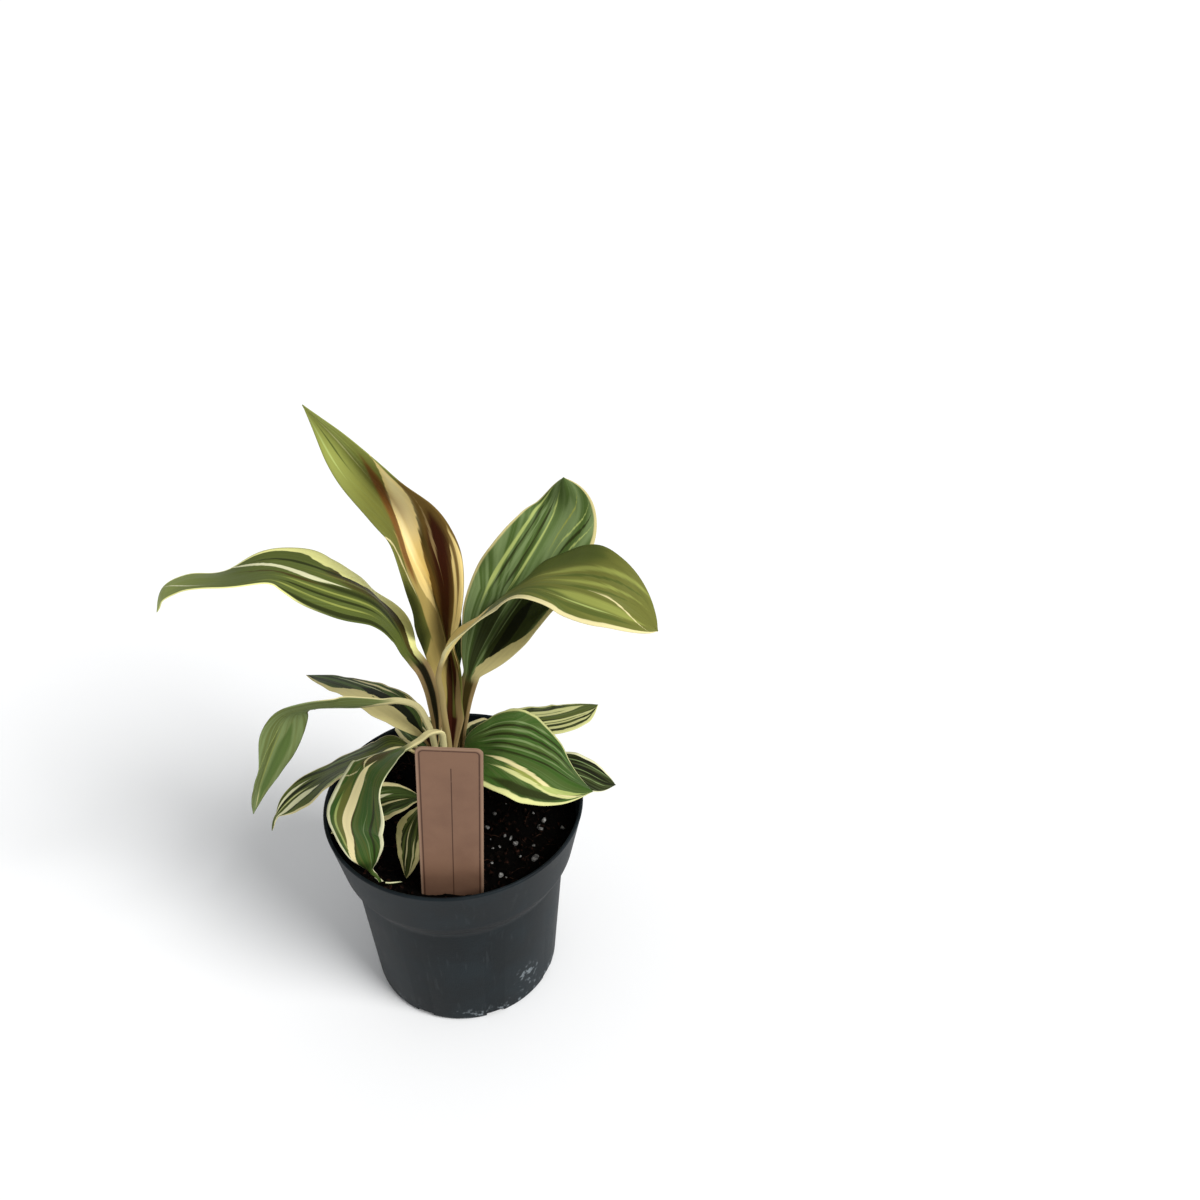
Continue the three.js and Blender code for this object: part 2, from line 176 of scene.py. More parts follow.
def times(tree, a, b):
    return maths(tree, "MULTIPLY", a, b)


def graded(tree, base, amount, value):
    """A number that is base where value is 0, and amount more where value is 1."""
    return plus(tree, base, times(tree, value, amount))


def ramp_between(tree, value, low, high):
    """0 at low, 1 at high, and a smooth change between them."""
    node = tree.nodes.new("ShaderNodeMapRange")
    node.interpolation_type = "SMOOTHSTEP"
    for name, given in (("Value", value), ("From Min", low), ("From Max", high)):
        link_or_set(tree, node.inputs[name], given)
    return node.outputs["Result"]


def mix_colour(tree, share, first, second, blend="MIX"):
    node = tree.nodes.new("ShaderNodeMix")
    node.data_type = "RGBA"
    node.blend_type = blend
    link_or_set(tree, node.inputs["Factor"], share)
    link_or_set(tree, node.inputs["A"], first)
    link_or_set(tree, node.inputs["B"], second)
    return node.outputs["Result"]


def join_xyz(tree, x, y, z):
    node = tree.nodes.new("ShaderNodeCombineXYZ")
    for socket, value in zip(node.inputs, (x, y, z)):
        link_or_set(tree, socket, value)
    return node.outputs[0]


def shaded(tree, paint, light):
    """Paint made darker or lighter by a number; 1 leaves it as it is."""
    return mix_colour(tree, 1.0, paint, join_xyz(tree, light, light, light), "MULTIPLY")


def noise_at(tree, where, scale, detail=2.0, roughness=0.5):
    node = tree.nodes.new("ShaderNodeTexNoise")
    link_or_set(tree, node.inputs["Vector"], where)
    node.inputs["Scale"].default_value = scale
    node.inputs["Detail"].default_value = detail
    node.inputs["Roughness"].default_value = roughness
    return node.outputs["Fac"]


def measure(tree, name):
    node = tree.nodes.new("ShaderNodeAttribute")
    node.attribute_name = name
    return node.outputs["Fac"]


def own_place(tree):
    return tree.nodes.new("ShaderNodeTexCoord").outputs["Object"]


def bump(tree, height, strength, distance):
    node = tree.nodes.new("ShaderNodeBump")
    node.inputs["Strength"].default_value = strength
    node.inputs["Distance"].default_value = distance
    link_or_set(tree, node.inputs["Height"], height)
    return node.outputs["Normal"]


def new_group(name, inputs, outputs):
    """A shader group; inputs give each starting value, or "place" for a point in space."""
    group = bpy.data.node_groups.new(name, "ShaderNodeTree")
    for label, value in inputs.items():
        kind = "NodeSocketVector" if value == "place" else "NodeSocketFloat"
        socket = group.interface.new_socket(label, in_out="INPUT", socket_type=kind)
        if value != "place":
            socket.default_value = value
    for label in outputs:
        group.interface.new_socket(label, in_out="OUTPUT", socket_type="NodeSocketFloat")
    source = group.nodes.new("NodeGroupInput")
    result = group.nodes.new("NodeGroupOutput")
    return group, source.outputs, result.inputs


def group_outputs(group):
    return [item.name for item in group.interface.items_tree if item.in_out == "OUTPUT"]


def use_group(tree, group, **values):
    node = tree.nodes.new("ShaderNodeGroup")
    node.node_tree = group
    for label, value in values.items():
        link_or_set(tree, node.inputs[label.replace("_", " ")], value)
    return node.outputs


def new_finish(name):
    finish = bpy.data.materials.new(name)
    finish.use_nodes = True
    tree = finish.node_tree
    return finish, tree, tree.nodes["Principled BSDF"]


def dress(tree, shader, paint, roughness, normal, mirror=0.5):
    """Feed a shader; mirror is how strongly it reflects, 0.5 for most smooth things."""
    tree.links.new(paint, shader.inputs["Base Color"])
    tree.links.new(roughness, shader.inputs["Roughness"])
    tree.links.new(normal, shader.inputs["Normal"])
    shader.inputs["Specular IOR Level"].default_value = mirror


def colour(red, green, blue):
    """A colour as a painter would name it, 0 to 255, in the linear values that shaders use."""
    shares = [value / 255 for value in (red, green, blue)]
    linear = [s / 12.92 if s < 0.0405 else ((s + 0.055) / 1.055) ** 2.4 for s in shares]
    return (*linear, 1.0)


print("shader helpers ready")

# %% [markdown]
# ## How a leaf is shaped
# A ti leaf is a long blade on a grooved stalk. Its rib is a curve in space, and the blade is swept
# along it: at each place the section has a width, a twist about the rib and two halves that lift
# like an open book. These are the same numbers as the solids', so the fine leaf lies in the plain
# one. Rib points say how far out from the cane, how far to the left and how high, in millimetres.
# Stalk, widest and tail are shares of a length; roll, left, right and channel are degrees; sheath is
# what the clasping stalk adds to its half width. Lists are read at even steps: roll along the whole
# leaf, left and right along the blade, and sheath along the stalk.

# %% Leaf table
CANE_TOP = 127
CANE_STATIONS = ((62, 3.8), (97, 4.0), (105, 4.6), (115, 5.6), (122, 6.0), (126, 5.6), (127, 5.0))
FOOT_GAP = 1.35
LIGHT_FOLD = {"roll": (0, 0, 0), "left": (25, 10, 5), "right": (25, 10, 5)}
leaves = [
    {
        "name": "young_spear", "bearing": 179, "foot_bearing": 89, "foot_height": CANE_TOP + 1.2,
        "rib": [
            (-1, -1.5, 139), (-2, -4, 153), (-2.5, -9, 169), (-1.5, -13.5, 184), (0.5, -15, 199),
            (3, -13, 215), (10, -10.5, 239), (16, -10, 262), (24, -5, 282), (32, -2, 297), (43, -3, 309),
        ],
        "width": 43, "stalk": 0.14, "widest": 0.55, "sheath": (1.2, 1.8, 4.2), "channel": 35,
        "roll": (-90, -92, -85, -60, -70, -95), "left": (20, 56, 60, 55, 0), "right": (25, 68, 40, 55, 45),
    },
    {
        "name": "arching_left", "bearing": 187, "foot_bearing": 172, "foot_height": 120,
        "rib": [
            (6.5, -2, 136), (5, -0.5, 150), (4.5, 1.5, 165.5), (5, 2.5, 176.5), (7.5, 2.6, 187.5),
            (13.2, 2.3, 198), (16.3, -0.3, 208), (24, -1, 223), (42, -1, 235), (61, -3, 240), (80, 1, 240),
            (98, 0, 239), (106, 0, 235), (111, -2, 224),
        ],
        "width": 36, "stalk": 0.36, "widest": 0.38, "sheath": (0, 0.6, 1.5, 1.8), "channel": 28,
        "roll": (-90, -98, -102, -80, -25, -5, 0, 2, 5, -2, -10), "left": (10, 0, -15, 10, 10, -25),
        "right": (36, 12, -20, -15, -5, 0, 0, -10, -20, -5, 10),
    },
    {
        "name": "broad_right_back", "bearing": 41, "foot_bearing": 52, "foot_height": 116,
        "rib": [
            (7.5, 1, 134), (9, 0, 150), (11.8, -0.4, 165), (13.2, -3.7, 178), (28.6, -1.3, 192),
            (52, 0, 212), (71, 1, 236), (67, -3, 255),
        ],
        "width": 48, "stalk": 0.36, "widest": 0.5, "sheath": (0, 0.5, 1.8),
        "roll": (15, 30, 25, 50), "left": (10, 30, 35, -35), "right": (-5, 30, 25, -35),
    },
    {
        "name": "broad_right", "bearing": -6, "foot_bearing": 280, "foot_height": 121,
        "rib": [
            (2, -7, 135), (2, -7, 150), (1.5, -7.5, 163), (1.5, -8.5, 178), (1.5, -10.5, 191),
            (4.5, -11.5, 200.5), (9.5, -11, 209), (17, -7, 216.5), (29, 0, 225), (42, 2, 231),
            (55, 1, 232), (70, -2, 230), (88, -1, 217), (92, 1, 212),
        ],
        "width": 49, "stalk": 0.42, "widest": 0.48,
        "roll": (-15, -10, -5, 5, 25), "left": (30, -20, -10, 35, 40), "right": (15, 15, 25, 5, 25),
    },
    {
        "name": "left_back", "bearing": 155, "foot_bearing": 146, "foot_height": 111,
        "rib": [
            (9.5, -1.5, 127), (11, 0, 139), (14, 3, 147), (25, 0, 151), (39, 0, 156), (56, 1, 158),
            (74, 1, 156),
        ],
        "width": 30, "stalk": 0.34, "widest": 0.45,
        "roll": (-10, 10, 20), "left": (-5, 10, 5), "right": (20, -10, 0),
    },
    {
        "name": "left_drooping", "bearing": 190, "foot_bearing": 222, "foot_height": 117,
        "rib": [
            (6.5, 4.5, 134), (6.5, 4.5, 147), (8.5, 3.5, 158), (13, 2, 168), (19.5, 1, 170.5),
            (27, 0, 170), (45, -1, 170), (57, 1, 172), (67, -1, 168), (74, -1, 156), (81, 0, 141),
            (86, 0, 128), (90, 1, 114),
        ],
        "width": 29, "stalk": 0.38, "widest": 0.55,
        "roll": (30, 45, 40, 50, 40), "left": (45, 10, -30, -20), "right": (-25, 0, -15, -10),
    },
    {
        "name": "left_low", "bearing": 186, "foot_bearing": 180, "foot_height": 104,
        "rib": [
            (9.5, -1, 121), (14, 0, 137), (25, -1, 142), (34, 1, 138), (48, -1, 130), (61, -1, 122),
            (73, 0, 114), (82, 1, 104), (85, 0, 95),
        ],
        "width": 30, "stalk": 0.3, "widest": 0.5, "tail": 0.12,
        "roll": (5, 5, 5, -35), "left": (20, 10, -25), "right": (15, -10, 25),
    },
    {
        "name": "front_left_hanging", "bearing": 229, "foot_bearing": 256, "foot_height": 112,
        "rib": [
            (8.5, 4.5, 127), (9, 6, 142), (9, 7, 153), (10.5, 7, 160), (14, 5, 160.5), (18.5, 2.5, 157.5),
            (25, 0, 155.5), (35, 0, 157), (44, 0, 156), (48, 0, 150), (52, 0, 143), (56, -1, 133),
            (55, 0, 122), (54, 1, 111), (51, 1, 100), (51, 8, 99), (45, 13, 98),
        ],
        "width": 34, "stalk": 0.4, "widest": 0.42, "tail": 0.17,
        "roll": (0, 5, 20, -20, -45), "left": (20, -5, -20), "right": (5, -5, 25),
    },
    {
        "name": "front_small", "bearing": 248, "foot_bearing": 262, "foot_height": 98,
        "rib": [
            (8, 1.5, 110), (14, 0, 120), (25, 0, 125), (33, 0, 125), (39, 0, 121), (42, 0, 112),
            (45, -1, 99),
        ],
        "width": 17, "stalk": 0.4, "widest": 0.45,
        "roll": (10, 15, 15), "left": (15, 10, 10), "right": (-5, 0, 15),
    },
    {
        "name": "right_front", "bearing": -20, "foot_bearing": 305, "foot_height": 105,
        "rib": [
            (8, -4, 122), (11, 0, 141), (19, -2, 145), (29, -4, 149), (46, -2, 145), (59, -1, 138),
            (69, 0, 135),
        ],
        "width": 48, "stalk": 0.32, "widest": 0.5,
        "roll": (10, 10, 0, -5), "left": (50, 5, -25), "right": (25, 0, -20),
    },
    {
        "name": "right_back", "bearing": 26, "foot_bearing": 16, "foot_height": 106,
        "rib": [(9.5, -1.5, 122), (14, 0, 134), (26, 0, 140), (41, 0, 139), (55, -2, 138), (75, 1, 135)],
        "width": 28, "stalk": 0.34, "widest": 0.6,
        "roll": (5, 0, -10), "left": (30, -10, 0), "right": (10, 5, 5),
    },
    {
        "name": "right_low", "bearing": -1, "foot_bearing": 338, "foot_height": 99,
        "rib": [
            (8.5, -2, 112), (16, -1, 125), (33, -1, 136), (45, -2, 133), (59, -2, 128), (70, 0, 119),
            (75, 3, 114),
        ],
        "width": 25, "stalk": 0.34, "widest": 0.45,
        "roll": (-20, -10, 20), "left": (-10, -15, 20), "right": (20, 0, -15),
    },
    {
        "name": "back_upright", "bearing": 80, "foot_bearing": 90, "foot_height": 119,
        "rib": [(8.5, 0, 140), (13.5, 0, 160), (19, 0, 180), (24, 0.5, 200), (26, 0, 213), (27, -1, 223)],
        "width": 11, "stalk": 0.35, "widest": 0.5,
        "roll": (0, 0, 0, 0), "left": (40, 35, 30, 20), "right": (40, 35, 30, 20),
    },
    {
        "name": "front_left_low", "bearing": 205, "foot_bearing": 214, "foot_height": 97.5,
        "rib": [(8.5, 1, 106), (16, 0, 113), (28, 0, 117), (40, 0, 116), (50, 0, 113), (58, 0, 110)],
        "width": 24, "stalk": 0.3, "widest": 0.45, **LIGHT_FOLD,
    },
    {
        "name": "back_right_low", "bearing": 60, "foot_bearing": 64, "foot_height": 98.5,
        "rib": [(8.5, 0.5, 110), (15, 0, 120), (27, 0, 124), (39, 0, 121), (49, 0, 113)],
        "width": 22, "stalk": 0.32, "widest": 0.45, **LIGHT_FOLD,
    },
    {
        "name": "back_left_low", "bearing": 125, "foot_bearing": 112, "foot_height": 100,
        "rib": [(8.5, -1, 113), (15, 0, 123), (27, 0, 126), (40, 0, 123), (51, 0, 115)],
        "width": 20, "stalk": 0.32, "widest": 0.45, **LIGHT_FOLD,
    },
]
print("leaves:", len(leaves))

# %% [markdown]
# ## From numbers to a surface
# A smooth curve through a few values needs a slope at each of them; weighting the neighbours'
# slopes by their distance keeps it calm where the points crowd. The same curve serves the rib, the
# twist and the lift of the halves.

# %% Leaf surface
CHANNEL_LIFT = 25
RIB_STEP = 0.004
FOOT_HALF_WIDTH = 1.2
STALK_GAIN = 0.8
LEAST_HALF_WIDTH = 0.2
BLADE_SWELL = 0.85
BLADE_TAPER = 2.1
BLADE_SLIMMING = 0.12


def smooth_at(knots, values, where):
    """Values (one row per knot) read off a smooth curve at each place in where."""
    knots = np.asarray(knots, float)
    values = np.asarray(values, float)
    flat = values.ndim == 1
    if flat:
        values = values[:, None]
    step = np.diff(knots)[:, None]
    rise = np.diff(values, axis=0) / step
    slope = np.empty_like(values)
    slope[0] = rise[0]
    slope[-1] = rise[-1]
    slope[1:-1] = (rise[:-1] * step[1:] + rise[1:] * step[:-1]) / (step[:-1] + step[1:])
    i = np.clip(np.searchsorted(knots, where, side="right") - 1, 0, len(knots) - 2)
    s = ((where - knots[i]) / step[i, 0])[:, None]
    out = (1 + 2 * s) * (1 - s) ** 2 * values[i] + s * (1 - s) ** 2 * step[i] * slope[i]
    out += s * s * (3 - 2 * s) * values[i + 1] + s * s * (s - 1) * step[i] * slope[i + 1]
    return out[:, 0] if flat else out


def even_at(values, where):
    return smooth_at(np.linspace(0, 1, len(values)), values, where)


def blade_outline(u, widest):
    """Half width along the blade: 0 at the stalk, 1 at its widest place, 0 at the tip."""
    rising = np.sin(np.clip(u / widest, 0, 1) * math.pi / 2) ** BLADE_SWELL
    x = np.clip((u - widest) / (1 - widest), 0, 1)
    falling = np.maximum(0, 1 - x**BLADE_TAPER) * (1 - BLADE_SLIMMING * x)
    return np.where(u < widest, rising, falling)


def unit(vectors):
    return vectors / np.linalg.norm(vectors, axis=-1, keepdims=True)


def leaf_rib(leaf):
    """The rib as a function of the share of its length, and the turn from its foot's bearing."""
    bearing = math.radians(leaf["bearing"])
    out = np.array((math.cos(bearing), math.sin(bearing), 0))
    left = np.array((-math.sin(bearing), math.cos(bearing), 0))
    turn = math.radians((leaf["bearing"] - leaf["foot_bearing"] + 180) % 360 - 180)
    height = leaf["foot_height"]
    reach = 0
    if height < CANE_TOP:
        reach = np.interp(height, *zip(*CANE_STATIONS)) + FOOT_GAP
    foot = (reach * math.cos(turn), -reach * math.sin(turn), height)
    points = np.array([foot, *leaf["rib"]], float)
    knots = np.concatenate(([0], np.cumsum(np.linalg.norm(np.diff(points, axis=0), axis=1))))

    def rib(where):
        local = smooth_at(knots / knots[-1], points, np.clip(where, 0, 1))
        return local[:, :1] * out + local[:, 1:2] * left + local[:, 2:] * (0, 0, 1)

    return rib, turn


def leaf_surface(leaf, along, across):
    """Middle surface of a leaf, rows along it and columns from its left edge to its right."""
    rib, turn = leaf_rib(leaf)
    blade = np.clip((along - leaf["stalk"]) / (1 - leaf["stalk"]), 0, 1)
    grown = np.clip(along / leaf["stalk"], 0, 1)
    ease = grown * grown * (3 - 2 * grown)
    ahead = unit(rib(along + RIB_STEP) - rib(along - RIB_STEP))
    facing = math.radians(leaf["foot_bearing"]) + turn * ease
    side = np.stack((-np.sin(facing), np.cos(facing), 0 * facing), 1)
    side = unit(side - ahead * (ahead * side).sum(1, keepdims=True))
    up = np.cross(ahead, side)
    twist = np.radians(even_at(leaf["roll"], along) * ease)[:, None]
    side, up = side * np.cos(twist) + up * np.sin(twist), up * np.cos(twist) - side * np.sin(twist)

    bladed = np.minimum(1, blade / (1 - leaf.get("tail", 0)))
    width = leaf["width"] / 2 * blade_outline(bladed, leaf["widest"])
    sheath = even_at(leaf.get("sheath", (0, 0)), grown) * (1 - blade) ** 4
    stalk_width = FOOT_HALF_WIDTH + STALK_GAIN * grown
    stalk_width = stalk_width * np.sqrt(np.minimum(1, 2 * (1 - blade))) + sheath
    width = np.maximum((width**4 + stalk_width**4) ** 0.25, LEAST_HALF_WIDTH)
    channel = leaf.get("channel", CHANNEL_LIFT)
    columns = []
    for v in across:
        keys = leaf["left"] if v >= 0 else leaf["right"]
        lift = np.radians(channel + (even_at(keys, blade) - channel) * ease)
        outward = (width * v * np.cos(lift))[:, None] * side
        columns.append(rib(along) + outward + (width * abs(v) * np.sin(lift))[:, None] * up)
    return np.stack(columns, 1), blade


def surface_normals(points):
    along = np.gradient(points, axis=0)
    across = np.gradient(points, axis=1)
    return unit(np.cross(across, along))


sample = leaf_surface(leaves[0], np.linspace(0, 1, 5), np.array((1.0, 0.0, -1.0)))[0]
print("rib of the first leaf, mm:", sample[:, 1].round(1).tolist())

# %% [markdown]
# ## Giving the leaf its thickness
# A real blade is thinnest at its margin, has a keel under the midrib and swells into a thick stalk.
# So the two faces part by an amount that changes over the leaf. The blade's margin also ripples a
# little between its veins, more towards the edge, and no two leaves ripple alike.

# %% Build the leaves
LEAF_ROWS = 130
HALF_STRIPS = 11
STALK_THICKNESS = 1.7
BLADE_THICKNESS = 0.75
MARGIN_THICKNESS = 0.3
ABOVE_MIDDLE = 0.4
RIPPLE = 0.45
RIPPLE_WAVES = ((3.0, 0.6), (5.5, 0.45), (9.0, 0.2))


def ripple(blade, across, seed):
    """Small waves of the blade in millimetres, none at the rib, the stalk or the tip."""
    waves = np.zeros((len(blade), len(across)))
    for turns, share in RIPPLE_WAVES:
        phase = seed * 1.7 + turns
        left = np.sin(2 * math.pi * turns * blade + phase)[:, None]
        right = np.sin(2 * math.pi * turns * blade + phase * 2.3)[:, None]
        waves += share * np.where(across > 0, left, right)
    calm = np.sin(np.clip(blade, 0, 1) * math.pi)[:, None]
    return RIPPLE * waves * calm * np.abs(across) ** 1.6


def leaf_solid(leaf, seed):
    along = np.linspace(0, 1, LEAF_ROWS)
    half = np.linspace(0, 1, HALF_STRIPS + 1) ** 0.8
    across = np.concatenate((half[::-1], -half[1:]))
    middle, blade = leaf_surface(leaf, along, across)
    normal = surface_normals(middle)
    middle = middle + normal * ripple(blade, across, seed)[..., None]
    core = STALK_THICKNESS + (BLADE_THICKNESS - STALK_THICKNESS) * np.clip(blade * 5, 0, 1)
    thickness = core[:, None] * (1 - across**2) ** 0.7 + MARGIN_THICKNESS
    thickness = thickness * np.sqrt(np.clip((1 - blade) * 30, 0.15, 1))[:, None]
    upper = middle + normal * thickness[..., None] * ABOVE_MIDDLE
    under = middle - normal * thickness[..., None] * (1 - ABOVE_MIDDLE)
    return upper, under, along, across, blade


def closed_sheet(rows, columns):
    """Faces of two grids, the upper first, sewn together round their edges."""
    under = rows * columns
    faces = []
    for i in range(rows - 1):
        for j in range(columns - 1):
            a = i * columns + j
            b = a + columns
            faces.append((a, a + 1, b + 1, b))
            faces.append((under + a, under + b, under + b + 1, under + a + 1))
        a = i * columns
        b = a + columns
        faces.append((a, b, under + b, under + a))
        a += columns - 1
        b += columns - 1
        faces.append((a, under + a, under + b, b))
    last = (rows - 1) * columns
    for j in range(columns - 1):
        faces.append((j, under + j, under + j + 1, j + 1))
        faces.append((last + j, last + j + 1, under + last + j + 1, under + last + j))
    return faces


def make_leaf(leaf, seed):
    upper, under, along, across, blade = leaf_solid(leaf, seed)
    rows, columns = upper.shape[:2]
    points = np.concatenate((upper.reshape(-1, 3), under.reshape(-1, 3))) * MM
    faces = closed_sheet(rows, columns)
    piece = new_piece(leaf["name"] + "_leaf", points, faces, "leaf_" + leaf["name"])
    # Along is 0 to 1 in the blade and -1 to 0 in the stalk
    stalked = np.where(blade > 0, blade, np.minimum(0, along / leaf["stalk"] - 1))
    add_measure(piece, "along", np.tile(np.repeat(stalked, columns), 2))
    add_measure(piece, "across", np.tile(across, 2 * rows))
    add_measure(piece, "upper", np.repeat((1.0, 0.0), rows * columns))
    return piece


leaf_pieces = {leaf["name"]: make_leaf(leaf, seed) for seed, leaf in enumerate(leaves)}
print("triangles in one leaf:", 2 * len(leaf_pieces["broad_right"].data.polygons))

# %% [markdown]
# ## Veins and streaks
# A ti leaf's veins leave the midrib at a narrow angle, run beside it and bend out to the margin
# near the tip. Its streaks follow them, so they are drawn on coordinates that the leaf itself
# carries: how far along the blade, and how far across it. Painted pictures could do this too, but a
# pattern worked out from coordinates stays sharp and can be changed by a number. Three groups do the
# work: one gives the fine veins and the green's slow changes, one draws a single tapering streak,
# and one draws the pale margin.

# %% Group for veins
leaf_inputs = {"Along": 0.0, "Across": 0.0, "Seed": 0.0}
BANDS = 4.0
FINE_VEINS = 26.0
FAN_RISE = 1.15
FAN_SPREAD = -0.3
FAN_WIDTH = 1.05
FAN_LEAST = 0.34


def build_vein_group():
    """A point's vein is its place across the leaf, divided by how far the veins have fanned out."""
    group, given, result = new_group("leaf_veins", leaf_inputs, ("Tone", "Lines", "Relief", "Mottle"))
    rise = maths(group, "POWER", maths(group, "MAXIMUM", given["Along"], 0.02), FAN_RISE)
    rest = maths(group, "MAXIMUM", minus(group, 1.0, given["Along"]), 0.02)
    fan = times(group, maths(group, "POWER", rest, FAN_SPREAD), rise)
    fan = maths(group, "MAXIMUM", times(group, fan, FAN_WIDTH), FAN_LEAST)
    vein = maths(group, "DIVIDE", given["Across"], fan)
    slow = times(group, given["Along"], 0.7)
    wide = join_xyz(group, times(group, vein, BANDS), slow, given["Seed"])
    fine = join_xyz(group, times(group, vein, FINE_VEINS), slow, given["Seed"])
    group.links.new(ramp_between(group, noise_at(group, wide, 1.0, 1.0), 0.36, 0.64), result["Tone"])
    lines = noise_at(group, fine, 1.0, 2.0, 0.6)
    group.links.new(ramp_between(group, lines, 0.5, 0.68), result["Lines"])
    group.links.new(lines, result["Relief"])
    spot = join_xyz(group, times(group, given["Across"], 3.0), given["Along"], given["Seed"])
    group.links.new(noise_at(group, spot, 2.2, 3.0), result["Mottle"])
    return group


vein_group = build_vein_group()
print("vein group outputs:", group_outputs(vein_group))

# %% Group for one streak
SOFTNESS = 0.02
STRAIGHT = (0.9, 0.0)
STREAK_SHAKE = 0.09
START_TAPER = 0.16
END_TAPER = 0.14


def build_streak_group():
    """A streak keeps its place across the leaf up to Bend From, and then leaves it in a curve."""
    inputs = {**leaf_inputs, "Centre": 0.0, "Width": 0.1, "Start": 0.0, "End": 1.0}
    inputs.update({"Bend From": STRAIGHT[0], "Bend": STRAIGHT[1], "Softness": SOFTNESS})
    group, given, result = new_group("leaf_streak", inputs, ("Mask",))
    past = maths(group, "MAXIMUM", minus(group, given["Along"], given["Bend From"]), 0.0)
    bent = times(group, times(group, past, past), given["Bend"])
    middle = plus(group, given["Centre"], bent)
    where = join_xyz(group, times(group, given["Across"], 9.0), given["Along"], given["Seed"])
    shake = times(group, minus(group, noise_at(group, where, 3.0), 0.5), STREAK_SHAKE)
    off = maths(group, "ABSOLUTE", minus(group, plus(group, given["Across"], shake), middle))
    after = minus(group, given["Along"], given["Start"])
    before = minus(group, given["End"], given["Along"])
    opening = ramp_between(group, after, 0.0, START_TAPER)
    taper = times(group, opening, ramp_between(group, before, 0.0, END_TAPER))
    half = times(group, times(group, given["Width"], 0.5), taper)
    inner = minus(group, half, given["Softness"])
    outer = plus(group, times(group, given["Softness"], 0.6), half)
    inside = minus(group, 1.0, ramp_between(group, off, inner, outer))
    present = ramp_between(group, taper, 0.0, times(group, given["Softness"], 2.0))
    group.links.new(times(group, inside, present), result["Mask"])
    return group


streak_group = build_streak_group()
print("streak group outputs:", group_outputs(streak_group))

# %% Group for the margin
MARGIN_UNEVENNESS = 0.9


def build_margin_group():
    """Each half's margin covers one share of it near the stalk and another near the tip."""
    inputs = {**leaf_inputs, "Left Base": 0.1, "Left Tip": 0.05, "Right Base": 0.1, "Right Tip": 0.05}
    inputs.update({"Fade From": 0.15, "Fade To": 0.6})
    group, given, result = new_group("leaf_margin", inputs, ("Mask",))
    fade = ramp_between(group, given["Along"], given["Fade From"], given["Fade To"])
    sides = []
    for side in ("Left", "Right"):
        change = minus(group, given[side + " Tip"], given[side + " Base"])
        sides.append(plus(group, given[side + " Base"], times(group, change, fade)))
    is_left = maths(group, "GREATER_THAN", given["Across"], 0.0)
    left_part = times(group, sides[0], is_left)
    right_part = times(group, sides[1], minus(group, 1.0, is_left))
    width = plus(group, left_part, right_part)
    where = join_xyz(group, given["Across"], times(group, given["Along"], 3.0), given["Seed"])
    uneven = times(group, minus(group, noise_at(group, where, 4.0, 3.0), 0.5), MARGIN_UNEVENNESS)
    edge = minus(group, 1.0, times(group, width, plus(group, 1.0, uneven)))
    reach = maths(group, "ABSOLUTE", given["Across"])
    softened = ramp_between(group, reach, minus(group, edge, 0.03), plus(group, edge, 0.01))
    present = ramp_between(group, width, 0.005, 0.03)
    group.links.new(times(group, softened, present), result["Mask"])
    return group


margin_group = build_margin_group()
print("margin group outputs:", group_outputs(margin_group))

# %% [markdown]
# ## What each leaf wears
# No two leaves are marked alike. Each has two greens, and the share of its left and right half that
# the pale margin covers near the stalk and near the tip. Some say where along the blade that share
# changes (fade), the margin's tone, the two tones of the stalk's edge and groove, or a tone that
# comes in towards the tip between two places. A streak is a tone, its place across the leaf (1 is
# the left edge, -1 the right), its width, start and end. A curved one goes on with where it leaves
# its place and how hard, and a soft one with that and how soft its edge is. The youngest leaf is
# still bronze with a broad yellow streak; three low leaves get streaks from a seeded draw.
# A few streaks are not marks of the leaf: some paint the shade that other leaves cast, and one is a painted
# highlight on the youngest leaf's yellow streak.

# %% Leaf tones and markings
PAINTED = {
    "gold": (248, 222, 146), "straw": (182, 160, 94), "parchment": (202, 190, 132),
    "primrose": (206, 206, 140), "cream": (222, 210, 156), "ivory": (224, 222, 180),
    "butter": (252, 236, 178), "lemon": (240, 238, 156), "lime": (168, 180, 104),
    "leek": (146, 152, 76), "sage": (116, 134, 86), "olive": (110, 112, 52),
    "moss": (86, 96, 42), "grass": (58, 88, 32), "green": (72, 92, 42),
    "dark": (42, 48, 18), "deep": (22, 24, 10), "umber": (72, 62, 26),
    "brown": (112, 86, 42), "rust": (124, 80, 38), "maroon": (52, 8, 4),
    "tan": (160, 136, 92),
}
TONES = {name: colour(*value) for name, value in PAINTED.items()}

